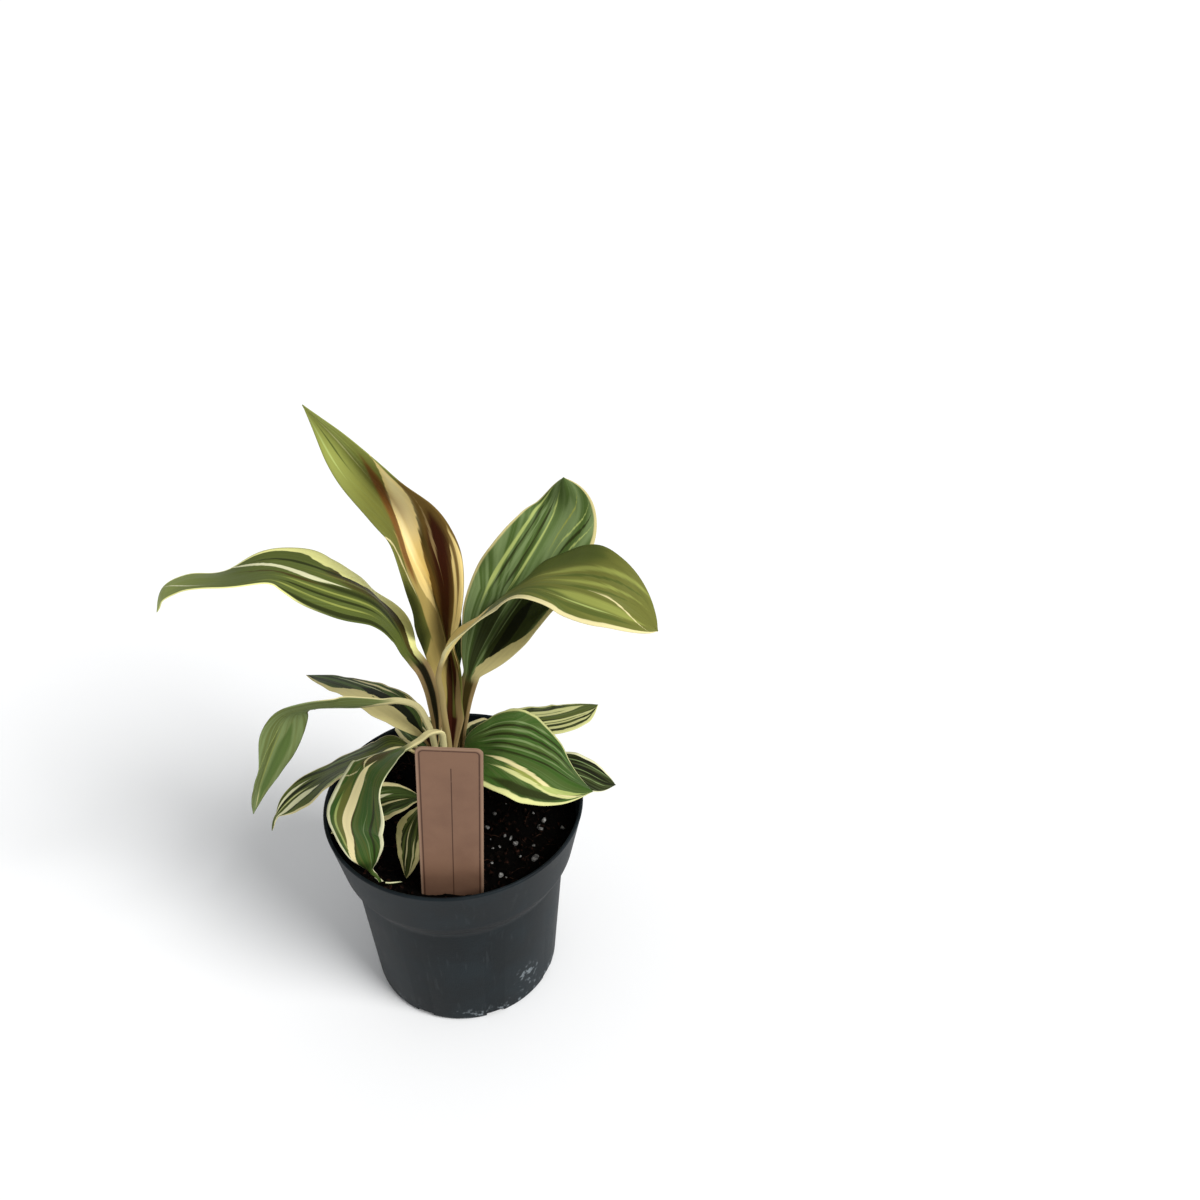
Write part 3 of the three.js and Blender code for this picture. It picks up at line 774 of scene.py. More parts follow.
MARKINGS = {
    "young_spear": {
        "greens": ("olive", "olive"), "tip": ("leek", 0.72, 0.9), "margins": (0, 0, 0, 0),
        "stalk": ("tan", "maroon"),
        "streaks": (
            ("brown", -0.5, 1.2, 0.05, 0.82, 0.35, -3.5, 0.2),
            ("dark", 0.98, 0.8, 0.16, 0.58, *STRAIGHT, 0.3),
            ("straw", 0.3, 0.54, 0.04, 0.64, 0.38, 4.0),
            ("maroon", -0.42, 0.46, -0.04, 0.68, 0.25, -2.4, 0.14),
            ("maroon", 0.2, 0.6, -0.4, 0.24, 0.0, -9.0, 0.1),
            ("umber", -0.3, 0.12, 0.4, 0.76, 0.45, -5.0, 0.08), ("tan", -0.48, 0.06, 0.4, 0.72, 0.45, -5.0),
            ("rust", 0.45, 0.44, 0.42, 0.88, 0.45, -6.0, 0.12), ("gold", 0.1, 0.54, 0.3, 0.86, 0.4, -5.6),
            # The butter streak over the gold is a painted highlight: it lifts the gold where the fold turns
            # it from the sun.
            ("butter", 0.1, 0.5, 0.44, 0.84, 0.4, -5.6, 0.2), ("cream", 0.62, 0.07, 0.4, 0.74, 0.42, 7.0),
            ("gold", -0.88, 0.26, 0.12, 0.6, 0.44, -3.0), ("brown", -0.86, 0.08, 0.3, 0.66, 0.44, -2.0),
            ("straw", 1.31, 1.1, -0.3, 0.28, -0.3, -2.27, 0.05), ("tan", -0.68, 0.56, -0.3, 0.18),
            ("leek", -0.6, 0.4, 0.1, 0.3, *STRAIGHT, 0.15), ("primrose", 0.1, 0.07, 0.74, 1.02),
            ("lime", 0.72, 0.14, 0.8, 1.04), ("lime", -0.36, 0.16, 0.8, 1.04),
            ("lime", -0.08, 0.3, 0.76, 0.98, *STRAIGHT, 0.15), ("moss", 0.42, 0.1, 0.78, 1.0),
            ("lime", -0.78, 0.2, 0.84, 1.04),
        ),
    },
    "arching_left": {
        "greens": ("moss", "moss"), "tip": ("lime", 0.66, 1.1), "margins": (0, 0.04, 0.6, 0.1),
        # The deep tone in this stalk's groove is painted shade of the gap between the stalks.
        "fade": (0.3, 0.62), "margin": "lemon", "stalk": ("tan", "deep"),
        "streaks": (
            ("umber", -0.3, 0.8, -0.1, 0.46, *STRAIGHT, 0.15),
            ("dark", 0.2, 0.16, 0.02, 0.5, *STRAIGHT, 0.06),
            ("leek", 0.36, 0.05, 0.12, 0.62, 0.5, 3.0), ("olive", -0.12, 0.1, 0.1, 0.5, 0.4, -3.0, 0.05),
            ("dark", 0.9, 0.14, 0.06, 0.6), ("dark", -0.3, 0.1, 0.2, 0.66, 0.4, -6.0),
            ("ivory", 0.1, 0.14, 0.32, 0.77, 0.44, -16.0), ("leek", 0.66, 0.05, 0.2, 0.7, 0.45, 4.0),
            ("umber", 0.24, 0.08, 0.36, 0.72, 0.48, -13.0), ("dark", 0.5, 0.07, 0.15, 0.6, 0.45, 4.0),
            ("ivory", 0.7, 0.1, 0.72, 0.97, 0.78, -80.0),
        ),
    },
    "broad_right_back": {
        "greens": ("green", "sage"), "margins": (0.03, 0.03, 0.85, 0.08), "fade": (0.0, 0.34),
        "margin": "parchment", "stalk": ("tan", "umber"),
        "streaks": (
            # The first two dark streaks and the deep one are painted shade: the right half in the shadow of
            # broad_right, the rest of the base in deep shade.
            ("dark", 0.26, 0.5, -0.08, 0.4, *STRAIGHT, 0.15),
            ("dark", -0.45, 0.9, 0.02, 0.56, *STRAIGHT, 0.1),
            ("sage", 0.1, 0.04, 0.04, 0.5), ("deep", -0.4, 0.3, 0.06, 0.46),
            ("sage", -0.14, 0.035, 0.1, 0.46), ("sage", -0.1, 0.4, 0.5, 0.92, 0.6, -1.0, 0.12),
            ("lime", 0.62, 0.08, 0.26, 1.0, 0.3, 0.7), ("sage", 0.45, 0.05, 0.3, 0.96, 0.4, 0.8),
            ("dark", 0.34, 0.06, 0.34, 0.92, 0.45, 0.8), ("lime", 0.24, 0.05, 0.34, 0.96, 0.5, 0.8),
            ("dark", 0.54, 0.05, 0.3, 0.9, 0.4, 0.8), ("leek", -0.05, 0.05, 0.6, 0.94, 0.66, -9.0),
            ("lime", -0.2, 0.05, 0.58, 0.88, 0.62, -12.0), ("dark", -0.32, 0.08, 0.56, 0.86, 0.6, -11.0),
            ("lime", -0.46, 0.05, 0.56, 0.82, 0.6, -12.0),
        ),
    },
    "broad_right": {
        "greens": ("moss", "olive"), "tip": ("olive", 0.5, 1.0), "margins": (0, 0, 0.34, 0.12),
        "fade": (0.25, 0.6), "stalk": ("tan", "straw"),
        "streaks": (
            ("moss", 0.8, 0.7, 0.28, 0.74, *STRAIGHT, 0.2),
            ("leek", 0.32, 0.12, 0.42, 0.94, 0.45, 3.5, 0.05),
            ("moss", 0.22, 0.06, 0.46, 0.92, 0.5, 3.5), ("leek", 0.12, 0.08, 0.48, 0.92, 0.55, 3.5, 0.04),
            ("moss", 0.0, 0.06, 0.5, 0.88, 0.55, 3.0), ("leek", -0.3, 0.3, 0.5, 0.95, 0.7, -2.0, 0.1),
            ("cream", 0.02, 0.08, 0.66, 0.97, 0.74, -22.0), ("moss", -0.64, 0.14, 0.5, 0.9),
            ("lime", -0.5, 0.05, 0.5, 0.84), ("gold", 0.0, 1.9, -0.2, 0.32, *STRAIGHT, 0.2),
        ),
    },
    "left_back": {
        "greens": ("green", "dark"), "margins": (1.0, 0.2, 0.08, 0.05), "margin": "parchment",
        "fade": (0.5, 0.74), "stalk": ("tan", "maroon"),
        "streaks": (
            ("deep", -0.14, 0.5, -0.1, 0.6, 0.45, -4.0), ("straw", -0.82, 0.32, 0.04, 0.32),
            ("cream", -0.66, 0.14, 0.3, 0.74, 0.45, -2.0), ("ivory", -0.42, 0.05, 0.36, 0.84, 0.5, -2.0),
        ),
    },
    "left_drooping": {
        "greens": ("sage", "moss"), "margins": (0.06, 0, 0.14, 0), "fade": (0.1, 0.4),
        "stalk": ("cream", "cream"),
        "streaks": (
            ("cream", -0.35, 1.3, -0.3, 0.15), ("moss", 0.22, 0.4, 0.44, 0.92, *STRAIGHT, 0.1),
            ("lime", 0.04, 0.06, 0.4, 0.78, 0.44, 22.0), ("grass", -0.4, 0.5, 0.46, 0.98, *STRAIGHT, 0.1),
            ("leek", -0.04, 0.05, 0.45, 0.9), ("cream", -0.1, 0.3, 0.84, 1.0, 0.86, -6.0),
        ),
    },
    "left_low": {
        "greens": ("dark", "moss"), "margins": (0.3, 0.1, 0.03, 0.04),
        "streaks": (
            ("lime", 0.75, 0.4, 0.22, 0.5), ("moss", -0.2, 0.3, 0.1, 0.5),
            ("ivory", 0.25, 0.36, 0.52, 0.98, 0.58, 5.0), ("primrose", -0.04, 0.1, 0.58, 0.95, 0.66, 1.0),
            ("ivory", -0.5, 0.26, 0.6, 0.98, 0.68, -3.0), ("deep", -0.26, 0.18, 0.5, 0.95, 0.65, -2.0),
            ("sage", -0.7, 0.08, 0.1, 0.6), ("olive", 0.4, 0.1, 0.1, 0.5),
        ),
    },
    "front_left_hanging": {
        "greens": ("moss", "grass"), "margins": (0.02, 0.12, 0.08, 0.12), "fade": (0.2, 0.4),
        "stalk": ("cream", "cream"), "margin": "ivory",
        "streaks": (
            ("umber", -0.5, 1.0, 0.0, 0.26, *STRAIGHT, 0.2),
            ("olive", -0.52, 0.3, 0.26, 0.76, 0.5, -3.0, 0.06),
            ("dark", 0.6, 0.1, 0.2, 0.86, 0.5, 1.0), ("sage", 0.38, 0.06, 0.32, 0.9, 0.5, 1.0),
            ("umber", -0.03, 0.06, 0.3, 0.8, 0.5, -9.0), ("cream", -0.95, 0.13, 0.04, 0.28, 0.06, 24.0),
            ("butter", -0.22, 0.34, 0.14, 0.86, 0.5, -11.0), ("cream", -0.5, 0.09, 0.2, 0.4, 0.24, -60.0),
            ("lime", -0.66, 0.08, 0.36, 0.74),
        ),
    },
    "front_small": {
        "greens": ("moss", "dark"), "margins": (0.3, 0.3, 0.5, 0.4), "margin": "parchment",
        "streaks": (
            ("cream", -0.1, 0.1, 0.3, 0.95, 0.5, -1.5), ("dark", -0.55, 0.1, 0.2, 0.7, 0.5, -1.0),
            ("cream", 0.45, 0.14, 0.45, 0.95, 0.6, 2.0),
        ),
    },
    "right_front": {
        "greens": ("green", "grass"), "margins": (0.02, 0.05, 0.12, 0.1), "margin": "primrose",
        "streaks": (
            ("dark", -0.74, 0.24, 0.34, 0.9, *STRAIGHT, 0.06),
            ("leek", -0.32, 0.2, 0.4, 0.97, 0.36, -1.3, 0.05),
            ("cream", -0.2, 0.1, 0.24, 0.99, 0.3, -1.4), ("primrose", -0.42, 0.1, 0.32, 0.99, 0.36, -1.2),
            ("lime", -0.5, 0.18, 0.62, 1.0, 0.8, -6.0), ("sage", 0.3, 0.06, 0.1, 0.9, 0.3, 1.0),
            ("sage", 0.52, 0.05, 0.1, 0.85, 0.3, 1.2), ("sage", 0.12, 0.05, 0.2, 0.95, 0.4, 1.2),
            ("dark", 0.42, 0.07, 0.1, 0.9, 0.3, 1.1), ("dark", 0.02, 0.06, 0.2, 0.95, 0.4, 0.6),
            ("sage", 0.7, 0.04, 0.05, 0.7, 0.3, 1.3), ("dark", 0.2, 0.06, 0.15, 0.8, 0.35, 1.1),
            ("dark", 0.62, 0.06, 0.05, 0.8, 0.3, 1.2),
        ),
    },
    "right_back": {
        "greens": ("dark", "moss"), "margins": (0.1, 0.1, 0.12, 0.14), "margin": "primrose",
        "streaks": (
            ("primrose", 0.34, 0.42, 0.2, 0.92, 0.5, 1.0), ("moss", 0.3, 0.06, 0.3, 0.8, 0.5, 1.0),
            ("dark", 0.66, 0.12, 0.2, 0.8, 0.5, 1.0), ("primrose", -0.32, 0.24, 0.2, 0.98, 0.7, -6.0),
            ("moss", -0.34, 0.05, 0.3, 0.9, 0.7, -6.0), ("primrose", -0.64, 0.14, 0.3, 0.9, 0.7, -4.0),
        ),
    },
    "right_low": {
        "greens": ("dark", "deep"), "margins": (0.12, 0.16, 0.05, 0.05), "margin": "ivory",
        "streaks": (
            ("sage", 0.5, 0.08, 0.4, 0.98, 0.7, 4.0), ("sage", -0.3, 0.06, 0.4, 0.98, 0.7, -4.0),
            ("deep", 0.15, 0.2, 0.4, 0.98), ("sage", 0.0, 0.04, 0.2, 0.95, 0.7, -1.0),
        ),
    },
    "back_upright": {
        "greens": ("green", "dark"), "margins": (0, 0, 0, 0),
        "streaks": (("sage", 0.3, 0.06, 0.1, 0.9), ("deep", -0.2, 0.3, 0.0, 0.7)),
    },
}


def grown_markings(seed):
    """Markings in the same manner for a leaf that the others hide."""
    draw = random.Random(seed)
    streaks = []
    for centre in (-0.62, -0.3, 0.06, 0.34, 0.66):
        tone = draw.choice(("cream", "ivory", "sage", "lime", "dark"))
        width = draw.uniform(0.06, 0.2)
        start = draw.uniform(0.02, 0.3)
        bend = draw.uniform(1.0, 4.0) * (1 if centre > 0 else -1)
        streaks.append((tone, centre + draw.uniform(-0.1, 0.1), width, start, 0.97, 0.45, bend))
    margins = tuple(draw.uniform(0.08, 0.28) for _ in range(4))
    return {"greens": ("green", "dark"), "margins": margins, "streaks": tuple(streaks)}


print("marked leaves:", sorted(MARKINGS))

# %% [markdown]
# ## The leaf finish
# One function dresses every leaf from its markings. The layers go on as on the real leaf: the two
# greens with their fine veins, the tip's own tone, then streaks, then the margin, then the stalk
# with its dark groove, which is partly the stalk's own colour and partly painted shade. The
# underside is the same leaf seen through its skin, so it is a little paler. A living leaf has a satin
# skin, and its veins stand out as fine ridges.

# %% Leaf finish
VEIN_COVER = 0.22
STREAK_COVER = 0.93
UNDERSIDE_COVER = 0.22
UNDERSIDE = colour(132, 138, 90)


def add_streak(
    tree, place, paint, tone, centre, width, start, end,
    bend_from=STRAIGHT[0], bend=STRAIGHT[1], softness=SOFTNESS,
):
    streak = use_group(
        tree, streak_group, **place, Centre=centre, Width=width, Start=start, End=end,
        Bend_From=bend_from, Bend=bend, Softness=softness,
    )
    return mix_colour(tree, times(tree, streak["Mask"], STREAK_COVER), paint, TONES[tone])


def add_stalk(tree, along, across, upper, paint, edge_tone, groove_and_shade_tone):
    """The stalk has a dark groove between paler edges above, and is nearly plain below; the groove is
    partly the stalk's own colour and partly painted shade in the channel.
    """
    stalk = ramp_between(tree, along, 0.05, -0.06)
    groove = ramp_between(tree, maths(tree, "ABSOLUTE", across), 0.62, 0.4)
    groove = times(tree, groove, plus(tree, times(tree, upper, 0.85), 0.12))
    stalk_paint = mix_colour(tree, groove, TONES[edge_tone], TONES[groove_and_shade_tone])
    return mix_colour(tree, stalk, paint, stalk_paint)


def leaf_finish(name, marks, seed):
    finish, tree, shader = new_finish(name + "_finish")
    along = measure(tree, "along")
    across = measure(tree, "across")
    place = {"Along": along, "Across": across, "Seed": seed * 3.7}
    veins = use_group(tree, vein_group, **place)
    paint = mix_colour(tree, veins["Tone"], *(TONES[tone] for tone in marks["greens"]))
    paint = mix_colour(tree, times(tree, veins["Lines"], VEIN_COVER), paint, TONES["sage"])
    if "tip" in marks:
        tone, start, end = marks["tip"]
        paint = mix_colour(tree, ramp_between(tree, along, start, end), paint, TONES[tone])
    for streak in marks["streaks"]:
        paint = add_streak(tree, place, paint, *streak)
    left_base, left_tip, right_base, right_tip = marks["margins"]
    fade_from, fade_to = marks.get("fade", (0.15, 0.6))
    margin = use_group(
        tree, margin_group, **place, Fade_From=fade_from, Fade_To=fade_to,
        Left_Base=left_base, Left_Tip=left_tip, Right_Base=right_base, Right_Tip=right_tip,
    )
    paint = mix_colour(tree, margin["Mask"], paint, TONES[marks.get("margin", "cream")])
    upper = measure(tree, "upper")
    paint = add_stalk(tree, along, across, upper, paint, *marks.get("stalk", ("tan", "maroon")))
    under = times(tree, minus(tree, 1.0, upper), UNDERSIDE_COVER)
    paint = mix_colour(tree, under, paint, UNDERSIDE)
    paint = shaded(tree, paint, graded(tree, 0.8, 0.36, veins["Mottle"]))
    satin = graded(tree, 0.4, 0.2, veins["Mottle"])
    dress(tree, shader, paint, satin, bump(tree, veins["Relief"], 0.35, 0.0004), mirror=0.06)
    return finish


for seed, leaf in enumerate(leaves):
    marks = MARKINGS.get(leaf["name"]) or grown_markings(seed)
    leaf_pieces[leaf["name"]].data.materials.append(leaf_finish(leaf["name"], marks, seed))
print("dressed leaves:", len(leaf_pieces))

# %% [markdown]
# ## Weather and handling
# Black nursery plastic is never clean: water leaves pale lime marks low on the wall, handling
# leaves faint scuffs, and the moulded skin has a fine grain. The card, the cane and the soil's
# grains show some of the same marks, so one group makes them all. Specks are noise above a level,
# and a finish can raise that noise where it wants more of them.

# %% Group for wear
GRAIN_SCALE = 1400.0
CLOUD_SCALE = 38.0
SPECK_SCALE = 340.0
PATCH_SCALE = 55.0
SCRATCH_SCALE = 420.0
SCRATCH_SQUEEZE = (1.0, 1.0, 0.12)


def build_wear_group():
    inputs = {"Place": "place", "More Specks": 0.0}
    group, given, result = new_group("surface_wear", inputs, ("Grain", "Cloud", "Specks", "Scratches"))
    group.links.new(noise_at(group, given["Place"], GRAIN_SCALE, 2.0), result["Grain"])
    group.links.new(noise_at(group, given["Place"], CLOUD_SCALE, 4.0, 0.6), result["Cloud"])
    speck = noise_at(group, given["Place"], SPECK_SCALE, 3.0, 0.6)
    patch = noise_at(group, given["Place"], PATCH_SCALE, 2.0)
    speck = plus(group, speck, times(group, patch, 0.7))
    speck = plus(group, speck, given["More Specks"])
    group.links.new(ramp_between(group, speck, 0.98, 1.12), result["Specks"])
    squeeze = group.nodes.new("ShaderNodeVectorMath")
    squeeze.operation = "MULTIPLY"
    group.links.new(given["Place"], squeeze.inputs[0])
    squeeze.inputs[1].default_value = SCRATCH_SQUEEZE
    scratch = noise_at(group, squeeze.outputs[0], SCRATCH_SCALE, 2.0)
    group.links.new(ramp_between(group, scratch, 0.62, 0.74), result["Scratches"])
    return group


wear_group = build_wear_group()
print("wear group outputs:", group_outputs(wear_group))

# %% [markdown]
# ## The pot
# The pot is blown from one thin skin: a tapering body, a shoulder, a wide collar to grip, a rolled
# lip, and slots round the foot for water. It is a turned shape, so its outline is written once,
# outside and inside, and spun. The slots are cut with boxes, as the mould's pins would leave them.

# %% Pot outline
POT_SIDES = 144
POT_HEIGHT = 106.8
RIM_RADIUS = 60
COLLAR_FOOT = (54.7, 78.8)
BODY_TOP = (50.1, 70.8)
FOOT_RADIUS = 44.6
FOOT_ROUNDING = 3
SHOULDER_ROUNDING = 2.2
COLLAR_ROUNDING = 2.4
INNER_ROUNDING = 2
LIP_RADIUS = 0.85
WALL = 1.3
FLOOR = 2
SLOTS = 8
SLOT_BOX = (15, 9, 6.8)
SLOT_REACH = 40.5
CREASE_ANGLE = 38


def rounded(corner, before, after, radius, steps=6):
    """Points that round a corner of an outline between the points before and after it."""
    corner, before, after = (np.array(point, float) for point in (corner, before, after))
    start = corner + unit(before - corner) * radius
    end = corner + unit(after - corner) * radius
    shares = np.linspace(0, 1, steps)[:, None]
    curve = (1 - shares) ** 2 * start + 2 * shares * (1 - shares) * corner + shares**2 * end
    return [tuple(point) for point in curve]


def pot_outline():
    foot = (FOOT_RADIUS, 0)
    rim = (RIM_RADIUS, POT_HEIGHT)
    outside = rounded(foot, (0, 0), BODY_TOP, FOOT_ROUNDING)
    outside += rounded(BODY_TOP, foot, COLLAR_FOOT, SHOULDER_ROUNDING)
    outside += rounded(COLLAR_FOOT, BODY_TOP, rim, COLLAR_ROUNDING)
    lip = [(RIM_RADIUS - 0.15, POT_HEIGHT - 1.6)]
    for angle in np.radians(np.arange(-10, 201, 30)):
        radius = RIM_RADIUS - 0.8 + LIP_RADIUS * math.cos(angle)
        lip.append((radius, POT_HEIGHT - LIP_RADIUS + LIP_RADIUS * math.sin(angle)))
    under_lip = (RIM_RADIUS - WALL - 0.1, POT_HEIGHT - 2)
    collar, shoulder = ((radius - WALL, height) for radius, height in (COLLAR_FOOT, BODY_TOP))
    corner = (FOOT_RADIUS - WALL, FLOOR)
    inside = [under_lip] + rounded(collar, under_lip, shoulder, INNER_ROUNDING)
    inside += rounded(shoulder, collar, corner, INNER_ROUNDING)
    inside += rounded(corner, shoulder, (0, FLOOR), INNER_ROUNDING)
    return outside + lip + inside


def make_pot():
    outline = pot_outline()
    rows = len(outline)
    points = turned_points(outline, POT_SIDES)
    faces = ring_faces(rows, POT_SIDES)
    faces.append(tuple(reversed(range(POT_SIDES))))
    faces.append(tuple(range((rows - 1) * POT_SIDES, rows * POT_SIDES)))
    pot = new_piece("nursery_pot", points, faces, "pot")
    cut_slots(pot)
    pot.data.set_sharp_from_angle(angle=math.radians(CREASE_ANGLE))
    return pot


def cut_slots(pot):
    shape = bmesh.new()
    place = Matrix.Translation((SLOT_REACH * MM, 0, 0))
    size = Matrix.Diagonal((*(side * MM for side in SLOT_BOX), 1))
    for i in range(SLOTS):
        turn = Matrix.Rotation(2 * math.pi * (i + 0.5) / SLOTS, 4, "Z")
        bmesh.ops.create_cube(shape, size=1, matrix=turn @ place @ size)
    cutter = from_bmesh("slot_cutter", shape)
    cut = pot.modifiers.new("slots", "BOOLEAN")
    cut.operation = "DIFFERENCE"
    cut.object = cutter
    bpy.context.view_layer.update()
    seen = pot.evaluated_get(bpy.context.evaluated_depsgraph_get())
    pot.data = bpy.data.meshes.new_from_object(seen)
    pot.modifiers.clear()
    bpy.data.objects.remove(cutter)


pot = make_pot()
print("pot faces:", len(pot.data.polygons))

# %% [markdown]
# ## The pot's black plastic
# The plastic is nearly black with a cool cast and a dull gloss, and a narrow band under the collar
# is painted darker as shade. Its wear isn't even: the foot has a skirt of lime where water dried,
# and one knocked patch low on the right holds most of the pale specks. So the wear group's specks
# are raised at these two places and let through nowhere else. A shader measures in metres, and so
# do the places below.

# %% Pot finish
PLASTIC = (colour(15, 21, 24), colour(25, 33, 37))
# Painted shade: the near-black tone of the band under the collar.
COLLAR_SHADE = colour(9, 14, 17)
LIME = colour(138, 146, 150)
KNOCK_PLACE = (0.0325, -0.0335, 0.018)
KNOCK_REACH = 0.015
SKIRT_TOP = 0.012
SKIRT_FOOT = 0.003
CREASE_HEIGHT = 0.0765


def knocked_patch(tree, place):
    """1 at the knocked patch and 0 away from it."""
    knock = tree.nodes.new("ShaderNodeVectorMath")
    knock.operation = "DISTANCE"
    tree.links.new(place, knock.inputs[0])
    knock.inputs[1].default_value = KNOCK_PLACE
    return ramp_between(tree, knock.outputs["Value"], KNOCK_REACH, 0.3 * KNOCK_REACH)


def pot_finish():
    finish, tree, shader = new_finish("black_nursery_plastic")
    place = own_place(tree)
    parts = tree.nodes.new("ShaderNodeSeparateXYZ")
    tree.links.new(place, parts.inputs[0])
    low = ramp_between(tree, parts.outputs["Z"], SKIRT_TOP, SKIRT_FOOT)
    knocked = knocked_patch(tree, place)
    more = plus(tree, times(tree, low, 0.08), times(tree, knocked, 0.07))
    wear = use_group(tree, wear_group, Place=place, More_Specks=more)

    paint = mix_colour(tree, ramp_between(tree, wear["Cloud"], 0.35, 0.7), *PLASTIC)
    # Painted shade: a narrow band under the collar, around CREASE_HEIGHT, is darkened.
    crease = maths(tree, "ABSOLUTE", minus(tree, parts.outputs["Z"], CREASE_HEIGHT))
    paint = mix_colour(tree, ramp_between(tree, crease, 0.005, 0.002), paint, COLLAR_SHADE)
    near = plus(tree, low, knocked, clamp=True)
    lime = times(tree, wear["Specks"], near)
    lime = plus(tree, lime, times(tree, wear["Scratches"], 0.05), clamp=True)
    paint = mix_colour(tree, times(tree, lime, 0.6), paint, LIME)
    rough = graded(tree, graded(tree, 0.42, 0.22, wear["Cloud"]), 0.25, lime)
    relief = graded(tree, wear["Grain"], 2.0, wear["Cloud"])
    dress(tree, shader, paint, rough, bump(tree, relief, 0.12, 0.0006), mirror=0.11)
    return finish


pot.data.materials.clear()
pot.data.materials.append(pot_finish())
print("pot finish:", pot.data.materials[0].name)

# %% [markdown]
# ## Potting mix
# Potting mix is peat, bark and a few pale grains of perlite. Its top is a turned grid pushed up
# and down by fractal noise, a little higher at the left where it was heaped against the wall. A
# displacement in the material would look as rough, but only a real surface gives the loose bits a
# height to lie at. The body below it fills the pot, because it shows through the slots.

# %% Soil body
SOIL_TOP = 95
SOIL_SIDES = 220
SOIL_RINGS = 60
SOIL_EDGE = 56.3
HEAP_BEARING = 212
HEAP_HEIGHT = 7.0
HEAP_START = 34
HEAP_RUN = 22
LUMPS = 1.1
CRUMBS = 0.7
SOIL_WALL = ((53.0, 80), (48.6, 71), (43.0, 6), (41, 2.3))


def soil_height(x, y):
    """Height of the soil in millimetres at a place in the pot."""
    lumps = noise.fractal(Vector((x * 0.13, y * 0.13, 1.7)), 0.9, 2.1, 5)
    crumbs = noise.fractal(Vector((x * 0.55, y * 0.55, 8.1)), 0.8, 2.0, 3)
    radius = math.hypot(x, y)
    away = math.radians(math.degrees(math.atan2(y, x)) - HEAP_BEARING)
    heap = math.exp(-((1 - math.cos(away)) * 4)) * max(0.0, (radius - HEAP_START) / HEAP_RUN) ** 2
    return SOIL_TOP + LUMPS * lumps + CRUMBS * crumbs + HEAP_HEIGHT * heap


def make_soil():
    points = [(0, 0, soil_height(0, 0) * MM)]
    for ring in range(1, SOIL_RINGS + 1):
        radius = SOIL_EDGE * ring / SOIL_RINGS
        for side in range(SOIL_SIDES):
            angle = 2 * math.pi * side / SOIL_SIDES
            x, y = radius * math.cos(angle), radius * math.sin(angle)
            points.append((x * MM, y * MM, soil_height(x, y) * MM))
    points += turned_points(SOIL_WALL, SOIL_SIDES)
    points.append((0, 0, SOIL_WALL[-1][1] * MM))
    rows = SOIL_RINGS + len(SOIL_WALL)
    faces = [(0, 1 + side, 1 + (side + 1) % SOIL_SIDES) for side in range(SOIL_SIDES)]
    for row in range(rows - 1):
        low = 1 + row * SOIL_SIDES
        for side in range(SOIL_SIDES):
            after = (side + 1) % SOIL_SIDES
            faces.append((low + side, low + SOIL_SIDES + side, low + SOIL_SIDES + after, low + after))
    low = 1 + (rows - 1) * SOIL_SIDES
    foot = len(points) - 1
    faces += [(low + side, foot, low + (side + 1) % SOIL_SIDES) for side in range(SOIL_SIDES)]
    return new_piece("potting_mix", points, faces, "soil")


soil = make_soil()
print("soil faces:", len(soil.data.polygons))

# %% [markdown]
# ## Crumbs and perlite
# Loose bits break up the soil's surface. Each is a small ball pushed out of round, flat for bark
# and rounder for perlite. A seeded draw puts most of them anywhere clear of the cane and the card,
# and more crumbs on the heap at the left wall. Only the larger grains of perlite catch the eye, so
# each of those has its own place and size, in millimetres.

# %% Loose bits
CANE_CLEARANCE = 8
CARD_SPOT = (3, -47)
CARD_CLEARANCE = (17, 2.5)
HEAP_BAND = (48, 55)
HEAP_SPREAD = 38
BIT_SIZES = (0.9, 3.4)
BIT_LIFT = 0.12
LUMPINESS = 1.1
PERLITE_SEEN = (
    (39, -26, 3.4), (29.5, -17.5, 2.8), (27, -14, 2.2), (24, -12.5, 1.8), (22, -19, 1.2),
    (40, -7, 2.2), (41.5, -3, 2.4), (50.5, -7, 2.6), (18, 2, 2.8), (15.5, -7.5, 2.0), (23, 8.5, 1.4),
    (31.5, -25, 1.6), (19, -28, 1.2), (23.5, -37, 2.4), (37.5, -18, 1.5), (17.5, -15, 1.3),
)
draw = random.Random(7)


def free_place():
    while True:
        angle = draw.uniform(0, 2 * math.pi)
        radius = (SOIL_EDGE - 1.5) * math.sqrt(draw.random())
        x, y = radius * math.cos(angle), radius * math.sin(angle)
        pairs = zip((x, y), CARD_SPOT, CARD_CLEARANCE)
        near_card = all(abs(place - spot) < room for place, spot, room in pairs)
        if radius > CANE_CLEARANCE and not near_card:
            return x, y


def heaped_place():
    """A crumb's place and size on the heap at the left wall."""
    radius = draw.uniform(*HEAP_BAND)
    bearing = math.radians(HEAP_BEARING + draw.uniform(-HEAP_SPREAD, HEAP_SPREAD))
    return radius * math.cos(bearing), radius * math.sin(bearing), draw.uniform(*BIT_SIZES)


def add_bit(shape, place, size, flatness, rounds):
    """One irregular grain of a given size in millimetres, partly sunk at its place."""
    turn = Matrix.Rotation(draw.uniform(0, 6.28), 4, Vector([draw.uniform(-1, 1) for _ in range(3)]))
    stretch = Matrix.Diagonal((size, size * draw.uniform(0.55, 1), size * flatness, 1))
    matrix = Matrix.Translation(place) @ turn @ stretch @ Matrix.Scale(MM, 4)
    made = bmesh.ops.create_icosphere(shape, subdivisions=rounds, radius=0.5, matrix=matrix)
    shift = Vector([draw.uniform(0, 50) for _ in range(3)])
    for vertex in made["verts"]:
        away = vertex.co - Vector(place)
        vertex.co += away * noise.noise(away * 1500 / size + shift) * LUMPINESS


